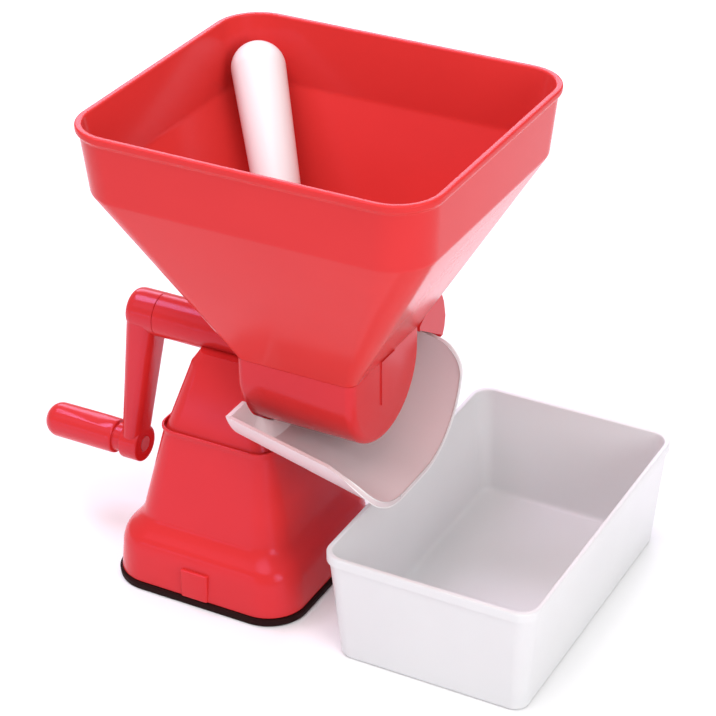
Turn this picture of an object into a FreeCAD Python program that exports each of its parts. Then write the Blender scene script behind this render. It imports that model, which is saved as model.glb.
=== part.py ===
import FreeCAD, Part
import Sketcher
import math
import os

# Hand-cranked food mill with its hopper, pusher, juice chute and tray.
# X runs along the crank axis, with the crank on the -X side, and +Z is up.
# The origin is on the table under the middle of the suction foot. Millimetres.

Vector = FreeCAD.Vector
Rotation = FreeCAD.Rotation

DIMENSIONS = [
    # Crank axis, bearing tube and press barrel
    ("axis_height", 162.0, "crank axis above the table"),
    ("barrel_radius", 44.0, "outside of the press barrel"),
    ("barrel_wall", 2.5, "wall of the barrel and its end walls"),
    ("barrel_left", 22.0, "left end of the barrel"),
    ("barrel_right", 101.0, "right end of the barrel"),
    ("barrel_round", 6.0, "rounding of the barrel's ends"),
    ("joint_rise", 12.5, "seam between barrel and hopper above the crank axis"),
    ("tube_radius", 14.0, "outside of the bearing tube"),
    ("tube_left", -55.0, "left end of the bearing tube"),
    ("slot_length", 48.0, "juice slot under the barrel"),
    ("slot_margin", 7.0, "from the end of the slot to the barrel's right end"),
    ("slot_width", 32.0, "width of the juice slot"),
    ("end_boss_radius", 7.0, "bearing boss on the end wall"),
    ("end_boss_length", 4.5, "how far that boss stands into the barrel"),
    ("end_pad_width", 17.0, "raised pad on the end wall"),
    ("end_pad_depth", 17.0, "how far the pad reaches below the axis"),
    ("end_pad_rise", 0.8, "how far the pad stands proud"),
    ("wing_left", 40.0, "left end of the rear wing over the chute"),
    ("wing_reach", 34.5, "how far the wing stands out behind the barrel"),
    ("wing_wall", 2.8, "wall of the wing"),
    # Column and foot
    ("column_rise", 60.0, "crank axis above the deck of the foot, on which the column stands"),
    ("ledge_height", 4.5, "rim of the foot round the column"),
    ("ledge_half", 40.2, "half width of that rim"),
    ("ledge_gap", 0.3, "clearance between rim and column"),
    ("column_half", 38.2, "half width of the column at the seam"),
    ("column_top_half", 24.4, "half width of the column at its shoulder"),
    ("shoulder_drop", 14.0, "column's shoulder below the crank axis"),
    ("crown_drop", 7.0, "column's crown below the crank axis"),
    ("column_corner", 11.5, "corner radius of the column at the seam"),
    ("column_wall", 2.5, "wall of the column"),
    ("foot_half", 64.5, "half width of the foot's skirt"),
    ("foot_corner", 25.0, "corner radius of the skirt"),
    ("foot_bottom", 5.5, "lower edge of the skirt above the table"),
    ("skirt_top", 28.0, "where the skirt's rounded shoulder starts"),
    ("shoulder_top", 50.0, "where the shoulder has run into the pyramid"),
    ("pyramid_half", 51.0, "half width of the pyramid above the shoulder"),
    ("foot_top_half", 39.0, "half width of the foot under the ledge"),
    ("foot_wall", 3.0, "wall of the foot"),
    ("deck_thickness", 4.0, "deck of the foot"),
    ("screw_spread_x", 20.0, "base screws, distance from the middle along X"),
    ("screw_spread_y", 31.0, "base screws, distance from the middle along Y"),
    ("screw_radius", 1.5, "shank of the small screws"),
    ("screw_head", 3.2, "head radius of the small screws"),
    ("screw_head_height", 2.4, "head height of the small screws"),
    ("screw_length", 14.0, "shank length of the base screws"),
    ("screw_boss", 4.5, "screw boss radius in the column"),
    # Suction foot
    ("pad_half", 66.0, "half width of the rubber pad"),
    ("pad_corner", 26.0, "corner radius of the pad"),
    ("pad_upstand", 3.5, "height of the pad's rim inside the skirt"),
    ("pad_web", 7.0, "thickness of the pad under the stem"),
    ("axle_height", 17.0, "cam axle above the table"),
    ("axle_radius", 3.0, "cam axle"),
    ("cam_radius", 6.0, "lift cam"),
    ("cam_throw", 1.7, "offset of the cam, half of the lift"),
    ("cam_width", 12.0, "lift cam along the axle"),
    ("stem_foot_radius", 16.0, "foot plate of the stem"),
    ("stem_radius", 4.0, "guide stem"),
    ("yoke_width", 24.0, "yoke round the cam, along X"),
    ("yoke_depth", 16.0, "yoke along the axle"),
    ("yoke_gap", 0.75, "play of the cam in the yoke"),
    ("yoke_roof", 3.6, "thickness of the yoke over the cam"),
    ("axle_boss_width", 19.0, "square boss on the skirt"),
    ("axle_boss_top", 25.0, "top of that boss"),
    ("axle_boss_proud", 2.2, "how far the boss stands out of the skirt"),
    ("axle_boss_depth", 13.0, "how far the boss reaches into the foot"),
    ("bridge_height", 34.0, "underside of the guide bridge"),
    ("bridge_thickness", 3.0, "guide bridge"),
    ("bridge_half", 54.0, "half length of the guide bridge"),
    ("bridge_width", 24.0, "width of the guide bridge"),
    ("bridge_screw_x", 50.0, "bridge screws, distance from the middle"),
    ("lever_length", 52.0, "suction lever, axle to tip centre"),
    ("lever_hub", 9.0, "hub radius of the lever"),
    ("lever_tip", 5.5, "tip radius of the lever"),
    ("lever_thickness", 9.0, "lever along the axle"),
    # Crank
    ("shaft_radius", 5.0, "drive shaft"),
    ("shaft_square", 7.0, "square drive of the shaft"),
    ("journal_radius", 3.0, "journal at the shaft's far end"),
    ("bush_radius", 9.0, "outside of the shaft bushes"),
    ("bush_length", 12.0, "length of the shaft bushes"),
    ("end_bush_radius", 5.0, "outside of the end bush"),
    ("clip_radius", 7.5, "outside of the circlip"),
    ("clip_thickness", 1.0, "circlip"),
    ("seal_thickness", 2.4, "shaft seal"),
    ("crank_length", 94.5, "crank axis to knob axis"),
    ("crank_lean", 4.7, "degrees that the crank hangs towards the front"),
    ("hub_length", 21.0, "crank hub along the axis"),
    ("hub_round", 6.0, "rounding of the hub's outer end"),
    ("arm_top_thickness", 18.0, "crank arm along the axis, at the hub"),
    ("arm_thickness", 13.0, "crank arm along the axis, at the knob boss"),
    ("arm_top_half", 13.6, "half width of the arm at the hub"),
    ("arm_corner", 4.5, "rounding of the arm's long edges"),
    ("boss_radius", 12.0, "boss that carries the knob"),
    ("boss_proud", 5.6, "how far the boss lies outside the hub's end"),
    ("knob_radius", 11.4, "knob"),
    ("knob_length", 53.0, "knob without its collar"),
    ("knob_dome", 9.5, "rounding of the knob's end"),
    ("collar_radius", 9.2, "collar between knob and boss"),
    ("collar_length", 6.0, "length of that collar"),
    ("pin_radius", 3.0, "knob pin"),
    ("pin_head", 5.0, "head of the knob pin"),
    ("pin_head_height", 2.5, "thickness of that head"),
    # Rotor and sieve
    ("rotor_clear", 1.2, "clearance between the rotor blades and the sieve"),
    ("rotor_hub", 11.0, "hub of the rotor"),
    ("rotor_play", 3.5, "from the barrel's left end wall to the rotor"),
    ("rotor_end_play", 1.0, "from the rotor to the end boss"),
    ("blade_thickness", 5.0, "rotor blades"),
    ("blade_twist", 150.0, "twist of the blades over the rotor's length, degrees"),
    ("sieve_gap", 0.3, "clearance between sieve and barrel"),
    ("sieve_sheet", 0.6, "sheet of the sieve"),
    ("sieve_hole", 2.4, "width of the sieve's openings"),
    ("sieve_slot", 5.0, "length of the sieve's openings"),
    # Hopper and pusher
    ("hopper_height", 155.5, "rim above the seam with the barrel"),
    ("rim_left", -54.0, "left edge of the hopper's rim"),
    ("rim_right", 172.5, "right edge of the rim"),
    ("rim_half", 102.0, "half width of the rim"),
    ("rim_corner", 28.5, "corner radius of the rim"),
    ("rim_bead", 1.6, "how far the rim bead stands out"),
    ("rim_bead_height", 4.2, "height of the bead"),
    ("band_height", 42.0, "straight band under the rim"),
    ("band_draft", 3.5, "how far the band draws in to its lower edge"),
    ("hopper_wall", 2.5, "wall of the hopper"),
    ("throat_corner", 6.5, "corner radius at the throat"),
    ("spigot_depth", 5.0, "spigot that locates the hopper in the barrel"),
    ("spigot_wall", 1.8, "wall of the spigot"),
    ("spigot_gap", 0.3, "clearance round the spigot"),
    ("pusher_top_radius", 16.8, "pusher under its dome"),
    ("pusher_foot_radius", 12.6, "pusher at its foot"),
    ("dome_drop", 27.0, "centre of the pusher's dome below the hopper's rim"),
    ("pusher_foot_x", 34.0, "foot of the pusher along X"),
    ("pusher_foot_y", 4.0, "foot of the pusher along Y"),
    ("pusher_foot_lift", 9.2, "middle of the foot above the rotor"),
    ("pusher_gap", 0.45, "clearance between dome and hopper"),
    # Chute
    ("chute_room", 22.0, "side of the trough outside the barrel's side"),
    ("chute_drop", 29.0, "underside of the lip below the barrel"),
    ("chute_corner", 52.0, "rounding between the trough's floor and sides"),
    ("chute_wall", 2.6, "wall of the trough"),
    ("chute_slope", 14.0, "fall of the trough, degrees"),
    ("chute_lip_x", 119.0, "lip along X"),
    ("chute_left", 25.5, "left end of the trough"),
    ("front_rim_drop", 17.2, "front rim at the trough's left end, below the crank axis"),
    ("front_rim_fall", 12.2, "fall of the front rim, degrees"),
    ("back_rim_drop", 12.0, "back rim at the lip, below the crank axis"),
    ("chute_back_round", 25.0, "rounding of the lip's back corner"),
    ("chute_front_round", 44.0, "rounding of the lip's front corner"),
    ("chute_notch_gap", 1.5, "clearance of the trough round column and barrel"),
    ("tongue_half", 12.0, "half width of the tongue"),
    ("tongue_reach", 8.0, "how far the tongue reaches past the column wall"),
    ("tongue_gap", 0.35, "clearance of the tongue in its slot"),
    # Tray
    ("tray_left", 94.4, "left edge of the tray's rim"),
    ("tray_length_x", 138.0, "tray rim along X"),
    ("tray_front", -74.7, "front edge of the tray's rim"),
    ("tray_length_y", 220.6, "tray rim along Y"),
    ("tray_height", 76.0, "tray rim above the table"),
    ("tray_corner", 12.5, "corner radius of the tray"),
    ("tray_draft", 6.5, "how far the tray draws in to its floor"),
    ("tray_wall", 2.2, "wall and floor of the tray"),
    ("tray_rim", 0.9, "how far the rim band stands out"),
    ("tray_rim_height", 6.5, "height of the rim band"),
    # Fits
    ("running_gap", 0.05, "radial clearance of turning fits"),
    ("seat_gap", 0.02, "radial clearance of fixed seats"),
    ("turn_gap", 0.4, "axial clearance between turning pieces"),
]

# Sizes and places that follow from the ones above
DERIVED = [
    ("seam_height", "axis_height - column_rise", "deck of the foot above the table"),
    ("column_shoulder", "axis_height - shoulder_drop", "column's shoulder above the table"),
    ("column_crown", "axis_height - crown_drop", "column's crown above the table"),
    ("joint_height", "axis_height + joint_rise", "seam between barrel and hopper above the table"),
    ("rim_top", "joint_height + hopper_height", "hopper's rim above the table"),
    ("slot_right", "barrel_right - slot_margin", "end of the juice slot"),
    ("slot_left", "slot_right - slot_length", "start of the juice slot"),
    ("rotor_radius", "barrel_radius - barrel_wall - sieve_gap - sieve_sheet - rotor_clear",
     "tip radius of the rotor blades"),
    ("rotor_left", "barrel_left + barrel_wall + rotor_play", "left end of the rotor"),
    ("rotor_right", "barrel_right - barrel_wall - end_boss_length - rotor_end_play", "right end of the rotor"),
    ("chute_half", "barrel_radius + chute_room", "half width of the trough"),
    ("chute_floor", "axis_height - barrel_radius - chute_drop", "underside of the lip above the table"),
    ("chute_front_rim", "axis_height - front_rim_drop", "front rim at the trough's left end"),
    ("chute_back_rim", "axis_height - back_rim_drop", "back rim at the lip"),
]

doc = FreeCAD.newDocument("food_mill")
sheet = doc.addObject("Spreadsheet::Sheet", "dims")
for row, (alias, content, meaning) in enumerate(DIMENSIONS + DERIVED, start=1):
    sheet.set(f"A{row}", meaning)
    sheet.set(f"B{row}", f"={content}" if isinstance(content, str) else str(content))
    sheet.setAlias(f"B{row}", alias)
doc.recompute()


def size(expression):
    """Value of an expression on the sheet's names, in millimetres or degrees."""
    return float(sheet.evalExpression(expression))


def bind(obj, prop, expression):
    """Tie one property to the sheet."""
    obj.setExpression(prop, expression)


def place(obj, at, turn=Rotation()):
    """Put an object at three sheet expressions, turned by a fixed rotation."""
    obj.Placement = FreeCAD.Placement(Vector(0, 0, 0), turn)
    for axis, expression in zip("xyz", at):
        bind(obj, "Placement.Base." + axis, expression)
    return obj


ALONG = {
    "X": Rotation(Vector(0, 1, 0), 90),
    "Y": Rotation(Vector(1, 0, 0), -90),
    "Z": Rotation(),
}


def box(name, low, span):
    """Box from its low corner and its three edge lengths."""
    solid = doc.addObject("Part::Box", name)
    for prop, expression in zip(("Length", "Width", "Height"), span):
        bind(solid, prop, expression)
    return place(solid, low)


def cylinder(name, axis, at, radius, length):
    """Cylinder that starts at a point and runs along +X, +Y or +Z."""
    solid = doc.addObject("Part::Cylinder", name)
    bind(solid, "Radius", radius)
    bind(solid, "Height", length)
    return place(solid, at, ALONG[axis])


def joined(name, solids):
    """Union of several solids."""
    union = doc.addObject("Part::MultiFuse", name)
    union.Shapes = solids
    union.Refine = True
    return union


def grouped(name, solids):
    """Separate solids kept together in one object."""
    group = doc.addObject("Part::Compound", name)
    group.Links = solids
    return group


def less(name, base, tools):
    """Base with the tools cut away."""
    tool = tools[0] if len(tools) == 1 else joined(name + "_tools", tools)
    cut = doc.addObject("Part::Cut", name)
    cut.Base = base
    cut.Tool = tool
    cut.Refine = True
    return cut


def shared(name, first, second):
    """Space that two solids have in common."""
    common = doc.addObject("Part::Common", name)
    common.Base = first
    common.Tool = second
    return common


def rounded(name, base, radius, wanted):
    """Fillet on every edge that the test accepts."""
    doc.recompute()
    fillet = doc.addObject("Part::Fillet", name)
    fillet.Base = base
    edges = [i for i, edge in enumerate(base.Shape.Edges, start=1) if wanted(edge)]
    fillet.Edges = [(i, radius, radius) for i in edges]
    return fillet


def body(name):
    return doc.addObject("PartDesign::Body", name)


def sketch_on(owner, name, role, offset="0", turn="0"):
    """Sketch on one of the body's own planes, raised and turned in that plane."""
    sketch = owner.newObject("Sketcher::SketchObject", name)
    plane = next(f for f in owner.Origin.OriginFeatures if f.Role == role)
    sketch.AttachmentSupport = (plane, "")
    sketch.MapMode = "FlatFace"
    bind(sketch, "AttachmentOffset.Base.z", offset)
    bind(sketch, "AttachmentOffset.Rotation.Angle", turn)
    return sketch


def pin_point(sketch, geometry, position, across, up):
    """Hold one point of the sketch at two sheet expressions."""
    for kind, expression in (("DistanceX", across), ("DistanceY", up)):
        constraint = Sketcher.Constraint(kind, -1, 1, geometry, position, size(expression))
        index = sketch.addConstraint(constraint)
        bind(sketch, f"Constraints[{index}]", expression)


def polygon(owner, name, role, points, offset="0", turn="0"):
    """Straight-sided closed outline whose corners are sheet expressions."""
    sketch = sketch_on(owner, name, role, offset, turn)
    corners = [Vector(size(u), size(v), 0) for u, v in points]
    count = len(corners)
    for i in range(count):
        sketch.addGeometry(Part.LineSegment(corners[i], corners[(i + 1) % count]))
    sketch.addConstraint(
        [Sketcher.Constraint("Coincident", i, 2, (i + 1) % count, 1) for i in range(count)])
    for i, (across, up) in enumerate(points):
        pin_point(sketch, i, 1, across, up)
    return sketch


def rounded_rectangle(owner, name, height, low, high, corner):
    """Level rectangle with four equal rounded corners, from its low and high XY corners."""
    sketch = sketch_on(owner, name, "XY_Plane", height)
    x0, y0 = (size(e) for e in low)
    x1, y1 = (size(e) for e in high)
    r = size(corner)
    sides = [((x0 + r, y0), (x1 - r, y0)), ((x1, y0 + r), (x1, y1 - r)),
             ((x1 - r, y1), (x0 + r, y1)), ((x0, y1 - r), (x0, y0 + r))]
    centres = [(x1 - r, y0 + r), (x1 - r, y1 - r), (x0 + r, y1 - r), (x0 + r, y0 + r)]
    for quarter, ((start, end), centre) in enumerate(zip(sides, centres)):
        sketch.addGeometry(Part.LineSegment(Vector(*start, 0), Vector(*end, 0)))
        circle = Part.Circle(Vector(*centre, 0), Vector(0, 0, 1), r)
        first = math.radians(90 * quarter - 90)
        sketch.addGeometry(Part.ArcOfCircle(circle, first, first + math.pi / 2))
    rules = [Sketcher.Constraint("Tangent", i, 2, (i + 1) % 8, 1) for i in range(8)]
    rules += [Sketcher.Constraint("Horizontal", i) for i in (0, 4)]
    rules += [Sketcher.Constraint("Vertical", i) for i in (2, 6)]
    rules += [Sketcher.Constraint("Equal", 1, i) for i in (3, 5, 7)]
    sketch.addConstraint(rules)
    reaches = (("DistanceY", 0, low[1]), ("DistanceX", 2, high[0]),
               ("DistanceY", 4, high[1]), ("DistanceX", 6, low[0]))
    for kind, line, expression in reaches:
        index = sketch.addConstraint(Sketcher.Constraint(kind, -1, 1, line, 1, size(expression)))
        bind(sketch, f"Constraints[{index}]", expression)
    index = sketch.addConstraint(Sketcher.Constraint("Radius", 1, r))
    bind(sketch, f"Constraints[{index}]", corner)
    return sketch


def square(owner, name, height, half, corner):
    """Rounded square about the Z axis."""
    return rounded_rectangle(owner, name, height, (f"-({half})", f"-({half})"), (half, half), corner)


def lofted(owner, name, sections, kind="Additive"):
    """Straight loft through level sections, added to the body or cut from it."""
    loft = owner.newObject(f"PartDesign::{kind}Loft", name)
    loft.Profile = sections[0]
    loft.Sections = sections[1:]
    loft.Ruled = True
    return loft


def padded(owner, name, sketch, length):
    pad = owner.newObject("PartDesign::Pad", name)
    pad.Profile = sketch
    bind(pad, "Length", length)
    return pad


def turned(owner, name, points):
    """Solid of revolution about the body's own Z axis, from (radius, height) corners."""
    sketch = polygon(owner, name + "_profile", "XZ_Plane", points)
    solid = owner.newObject("PartDesign::Revolution", name)
    solid.Profile = sketch
    solid.ReferenceAxis = (sketch, ["V_Axis"])
    solid.Angle = 360
    return solid


def screw(name, axis, at, length):
    """Plain screw: the shank runs along the axis from a head that starts at the point."""
    owner = body(name)
    turned(owner, name + "_turned", [
        ("0", "0"), ("dims.screw_head", "0"), ("dims.screw_head", "dims.screw_head_height"),
        ("dims.screw_radius", "dims.screw_head_height"),
        ("dims.screw_radius", f"dims.screw_head_height + {length}"),
        ("0", f"dims.screw_head_height + {length}")])
    return place(owner, at, ALONG[axis])


def straight_edge_along_z(edge):
    """True for an upright straight edge."""
    ends = edge.Vertexes
    if len(ends) != 2 or edge.Curve.TypeId != "Part::GeomLine":
        return False
    return abs((ends[1].Point - ends[0].Point).normalize().z) > 0.999


def end_circle(edge):
    """True for a full circle."""
    return edge.Curve.TypeId == "Part::GeomCircle" and len(edge.Vertexes) == 1


# Suction pad: rounded square of rubber, flat underneath, with an upstand in the skirt and a seat for the stem
pad = body("suction_pad")
lofted(pad, "pad_rim", [
    square(pad, "pad_floor", "0", "dims.pad_half - 0.5", "dims.pad_corner"),
    square(pad, "pad_edge", "dims.foot_bottom", "dims.pad_half", "dims.pad_corner")])
padded(pad, "pad_upstand", square(
    pad, "pad_upstand_outline", "dims.foot_bottom",
    "dims.foot_half - dims.foot_wall - dims.pad_upstand / 4", "dims.foot_corner - dims.foot_wall"),
    "dims.pad_upstand")
stem_seat = pad.newObject("PartDesign::Pocket", "stem_seat")
seat_sketch = sketch_on(pad, "stem_seat_circle", "XY_Plane", "dims.foot_bottom + dims.pad_upstand")
seat_sketch.addGeometry(Part.Circle(Vector(0, 0, 0), Vector(0, 0, 1), size("dims.stem_foot_radius") + 2))
seat_sketch.addConstraint(Sketcher.Constraint("Coincident", 0, 3, -1, 1))
seat_sketch.addConstraint(Sketcher.Constraint("Radius", 0, size("dims.stem_foot_radius") + 2))
bind(seat_sketch, "Constraints[1]", "dims.stem_foot_radius + 2")
stem_seat.Profile = seat_sketch
bind(stem_seat, "Length", "dims.foot_bottom + dims.pad_upstand - dims.pad_web")

# Foot: skirt, rounded shoulder, pyramid, deck and ledge, hollow from below
FOOT_STEPS = [
    ("dims.foot_bottom", "dims.foot_half", "dims.foot_corner"),
    ("dims.skirt_top", "dims.foot_half - 1.7", "dims.foot_corner - 1"),
    ("dims.skirt_top + 8", "dims.foot_half - 3.9", "dims.foot_corner - 2"),
    ("dims.shoulder_top - 7", "dims.pyramid_half + 4.9", "dims.foot_corner - 4"),
    ("dims.shoulder_top", "dims.pyramid_half", "dims.foot_corner - 6"),
    ("dims.seam_height", "dims.foot_top_half", "dims.column_corner + 0.5"),
]
shell = body("foot_shell")
lofted(shell, "foot_outside", [
    square(shell, f"foot_step_{i}", height, half, corner)
    for i, (height, half, corner) in enumerate(FOOT_STEPS)])
padded(shell, "ledge", square(shell, "ledge_outline", "dims.seam_height", "dims.ledge_half",
                              "dims.column_corner + 1"), "dims.ledge_height")
ledge_seat = shell.newObject("PartDesign::Pocket", "ledge_seat")
ledge_seat.Profile = square(shell, "ledge_seat_outline", "dims.seam_height + dims.ledge_height",
                            "dims.column_half + dims.ledge_gap", "dims.column_corner")
bind(ledge_seat, "Length", "dims.ledge_height")
INNER_STEPS = [(h, f"{half} - dims.foot_wall", f"{corner} - dims.foot_wall")
               for h, half, corner in FOOT_STEPS[:-1]]
INNER_STEPS.append(("dims.seam_height - dims.deck_thickness", "dims.foot_top_half - dims.foot_wall + 0.5",
                    "dims.column_corner - dims.foot_wall + 0.5"))
cavity = body("foot_cavity")
lofted(cavity, "foot_inside", [
    square(cavity, f"cavity_step_{i}", height, half, corner)
    for i, (height, half, corner) in enumerate(INNER_STEPS)])

boss_low = "dims.foot_bottom + dims.pad_upstand + 1"
boss_outer = "dims.foot_half - 1 + dims.axle_boss_proud"
boss_inner = f"({boss_outer}) - dims.axle_boss_depth"
hollow_shell = less("foot_hollow", shell, [cavity])
foot_bosses = []
for side, sign in (("front", -1), ("back", 1)):
    inner_y = f"-({boss_outer})" if sign < 0 else boss_inner
    foot_bosses.append(box(f"{side}_axle_boss", ("-dims.axle_boss_width / 2", inner_y, boss_low), (
        "dims.axle_boss_width", "dims.axle_boss_depth", f"dims.axle_boss_top - ({boss_low})")))
    outer_y = f"-({boss_outer})" if sign < 0 else "dims.foot_half - dims.foot_wall + 0.5"
    foot_bosses.append(box(f"{side}_boss_face", ("-dims.axle_boss_width / 2", outer_y, "dims.foot_bottom"), (
        "dims.axle_boss_width", f"({boss_outer}) - dims.foot_half + dims.foot_wall - 0.5",
        "dims.axle_boss_top - dims.foot_bottom")))
for side, sign in (("left", -1), ("right", 1)):
    low_x = "dims.bridge_half - 8" if sign > 0 else "-dims.bridge_half - 6"
    foot_bosses.append(shared(f"{side}_bridge_ledge", box(
        f"{side}_bridge_block", (low_x, "-dims.bridge_width / 2", "dims.bridge_height - 8"),
        ("14", "dims.bridge_width", "8")), shell))
axle_bore = cylinder(
    "axle_bore", "Y", ("0", f"-({boss_outer}) + 3", "dims.axle_height"),
    "dims.axle_radius + dims.running_gap", f"2 * ({boss_outer})")
foot_holes = [axle_bore]
for i, (sx, sy) in enumerate(((-1, -1), (1, -1), (1, 1), (-1, 1))):
    foot_holes.append(cylinder(
        f"deck_hole_{i}", "Z",
        (f"{sx} * dims.screw_spread_x", f"{sy} * dims.screw_spread_y",
         "dims.seam_height - dims.deck_thickness - 1"),
        "dims.screw_radius + 0.2", "dims.deck_thickness + 2"))
for i, sx in enumerate((-1, 1)):
    foot_holes.append(cylinder(
        f"ledge_hole_{i}", "Z", (f"{sx} * dims.bridge_screw_x", "0", "dims.bridge_height - 8.5"),
        "dims.screw_radius + dims.seat_gap", "9"))
base_foot = less("base_foot", joined("foot_with_bosses", [hollow_shell] + foot_bosses), foot_holes)

# Lifting gear of the suction pad
stem_foot_low = "dims.pad_web + dims.turn_gap"
yoke_low = "dims.axle_height - dims.cam_radius - dims.cam_throw - dims.yoke_gap"
window_top = "dims.axle_height + dims.cam_radius - dims.cam_throw + dims.yoke_gap"
stem_window = box(
    "yoke_window", ("-dims.cam_radius - dims.cam_throw - dims.yoke_gap", "-dims.yoke_depth", yoke_low),
    ("2 * (dims.cam_radius + dims.cam_throw + dims.yoke_gap)", "2 * dims.yoke_depth", f"({window_top}) - ({yoke_low})"))
stem_solid = joined("stem_solid", [
    cylinder("stem_foot", "Z", ("0", "0", stem_foot_low), "dims.stem_foot_radius",
             f"({yoke_low}) - ({stem_foot_low})"),
    box("yoke_block", ("-dims.yoke_width / 2", "-dims.yoke_depth / 2", stem_foot_low),
        ("dims.yoke_width", "dims.yoke_depth", f"({window_top}) + dims.yoke_roof - ({stem_foot_low})")),
    cylinder("guide_stem", "Z", ("0", "0", window_top), "dims.stem_radius",
             f"dims.bridge_height + dims.bridge_thickness + 5 - ({window_top})")])
pad_stem = less("pad_stem", stem_solid, [stem_window])

lift_cam = less("lift_cam", cylinder(
    "cam_disc", "Y", ("0", "-dims.cam_width / 2", "dims.axle_height - dims.cam_throw"),
    "dims.cam_radius", "dims.cam_width"), [cylinder(
        "cam_bore", "Y", ("0", "-dims.cam_width", "dims.axle_height"),
        "dims.axle_radius + dims.seat_gap", "2 * dims.cam_width")])

axle_front = f"-({boss_outer}) + 3.4"
lever_inner = f"({boss_outer}) + dims.turn_gap"
lever_outer = f"({lever_inner}) + dims.lever_thickness"
cam_axle = less("cam_axle", cylinder(
    "axle_rod", "Y", ("0", axle_front, "dims.axle_height"), "dims.axle_radius",
    f"({lever_outer}) - ({axle_front}) - 0.2"), [cylinder(
        "axle_thread", "Y", ("0", f"({lever_outer}) - dims.screw_length", "dims.axle_height"),
        "dims.screw_radius + dims.seat_gap", "dims.screw_length + 1")])

guide_bridge = less("guide_bridge", box(
    "bridge_plate", ("-dims.bridge_half", "-dims.bridge_width / 2", "dims.bridge_height"),
    ("2 * dims.bridge_half", "dims.bridge_width", "dims.bridge_thickness")),
    [cylinder("bridge_bore", "Z", ("0", "0", "dims.bridge_height - 1"),
              "dims.stem_radius + dims.running_gap", "dims.bridge_thickness + 2")] + [
    cylinder(f"bridge_hole_{i}", "Z", (f"{sx} * dims.bridge_screw_x", "0", "dims.bridge_height - 1"),
             "dims.screw_radius + 0.2", "dims.bridge_thickness + 2") for i, sx in enumerate((-1, 1))])

BRIDGE_SCREW_LENGTH = "dims.bridge_thickness + 6"
bridge_screws = grouped("bridge_screws", [
    place(screw(f"bridge_screw_{i}", "Z", ("0", "0", "0"), BRIDGE_SCREW_LENGTH), (
        f"{sx} * dims.bridge_screw_x", "0",
        "dims.bridge_height + dims.bridge_thickness + dims.screw_head_height"),
        Rotation(Vector(1, 0, 0), 180)) for i, sx in enumerate((-1, 1))])

base_screws = grouped("base_screws", [
    screw(f"base_screw_{i}", "Z", (
        f"{sx} * dims.screw_spread_x", f"{sy} * dims.screw_spread_y",
        "dims.seam_height - dims.deck_thickness - dims.screw_head_height"), "dims.screw_length")
    for i, (sx, sy) in enumerate(((-1, -1), (1, -1), (1, 1), (-1, 1)))])

# Suction lever on the back of the foot, lying towards -X when the pad is released
lever = body("suction_lever_solid")
lever_profile = polygon(lever, "lever_outline", "XZ_Plane", [
    ("0", "dims.lever_hub - 1"), ("0", "-dims.lever_hub + 1"),
    ("-dims.lever_length", "-dims.lever_tip"), ("-dims.lever_length", "dims.lever_tip")])
padded(lever, "lever_blade", lever_profile, "dims.lever_thickness - 2.5").Reversed = True
place(lever, ("0", f"({lever_inner}) + 1.2", "dims.axle_height"))
lever_solid = joined("lever_with_hub", [
    lever,
    cylinder("lever_hub_disc", "Y", ("0", lever_inner, "dims.axle_height"), "dims.lever_hub",
             "dims.lever_thickness"),
    cylinder("lever_tip_disc", "Y", ("-dims.lever_length", f"({lever_inner}) + 0.6", "dims.axle_height"),
             "dims.lever_tip", "dims.lever_thickness - 1.2")])
suction_lever = less("suction_lever", lever_solid, [cylinder(
    "lever_bore", "Y", ("0", f"({lever_inner}) - 1", "dims.axle_height"),
    "dims.axle_radius + dims.seat_gap", "dims.lever_thickness + 2")])
lever_screw = place(screw("lever_screw", "Y", ("0", "0", "0"), "dims.screw_length - 2"), (
    "0", f"({lever_outer}) + dims.screw_head_height", "dims.axle_height"), Rotation(Vector(1, 0, 0), 90))

# Column, bearing tube, barrel, rear wing


def column_loft(name, gap, low, crown_drop):
    """Tapered square column; the gap is added to its half width."""
    owner = body(name)
    lofted(owner, name + "_loft", [
        square(owner, name + "_seam", low, f"dims.column_half + {gap}", f"dims.column_corner + {gap}"),
        square(owner, name + "_shoulder", f"dims.column_shoulder - {crown_drop}",
               f"dims.column_top_half + {gap}", f"dims.column_corner - 2.5 + {gap}"),
        square(owner, name + "_crown", f"dims.column_crown - {crown_drop}",
               f"dims.column_top_half - 4.5 + {gap}", f"dims.column_corner - 3.5 + {gap}")])
    return owner


column_outside = column_loft("column", "0", "dims.seam_height", "0")
column = less("column_shell", column_outside, [
    column_loft("column_inside", "(-dims.column_wall)", "dims.seam_height - 0.01", "dims.column_wall")])

barrel_length = "dims.barrel_right - dims.barrel_left"
barrel_drum = rounded("barrel_drum_rounded", cylinder(
    "barrel_drum", "X", ("dims.barrel_left", "0", "dims.axis_height"), "dims.barrel_radius", barrel_length),
    size("dims.barrel_round"), end_circle)
barrel_drum = shared("barrel_drum_below_joint", barrel_drum, box(
    "below_joint", ("dims.barrel_left - 1", "-dims.barrel_radius - 1", "dims.axis_height - dims.barrel_radius - 1"),
    (f"{barrel_length} + 2", "2 * dims.barrel_radius + 2",
     "dims.joint_height - dims.axis_height + dims.barrel_radius + 1")))
barrel_throat = rounded("barrel_throat_rounded", box(
    "barrel_throat", ("dims.barrel_left", "-dims.barrel_radius", "dims.axis_height"),
    (barrel_length, "2 * dims.barrel_radius", "dims.joint_height - dims.axis_height")),
    size("dims.barrel_round"), straight_edge_along_z)

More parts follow.
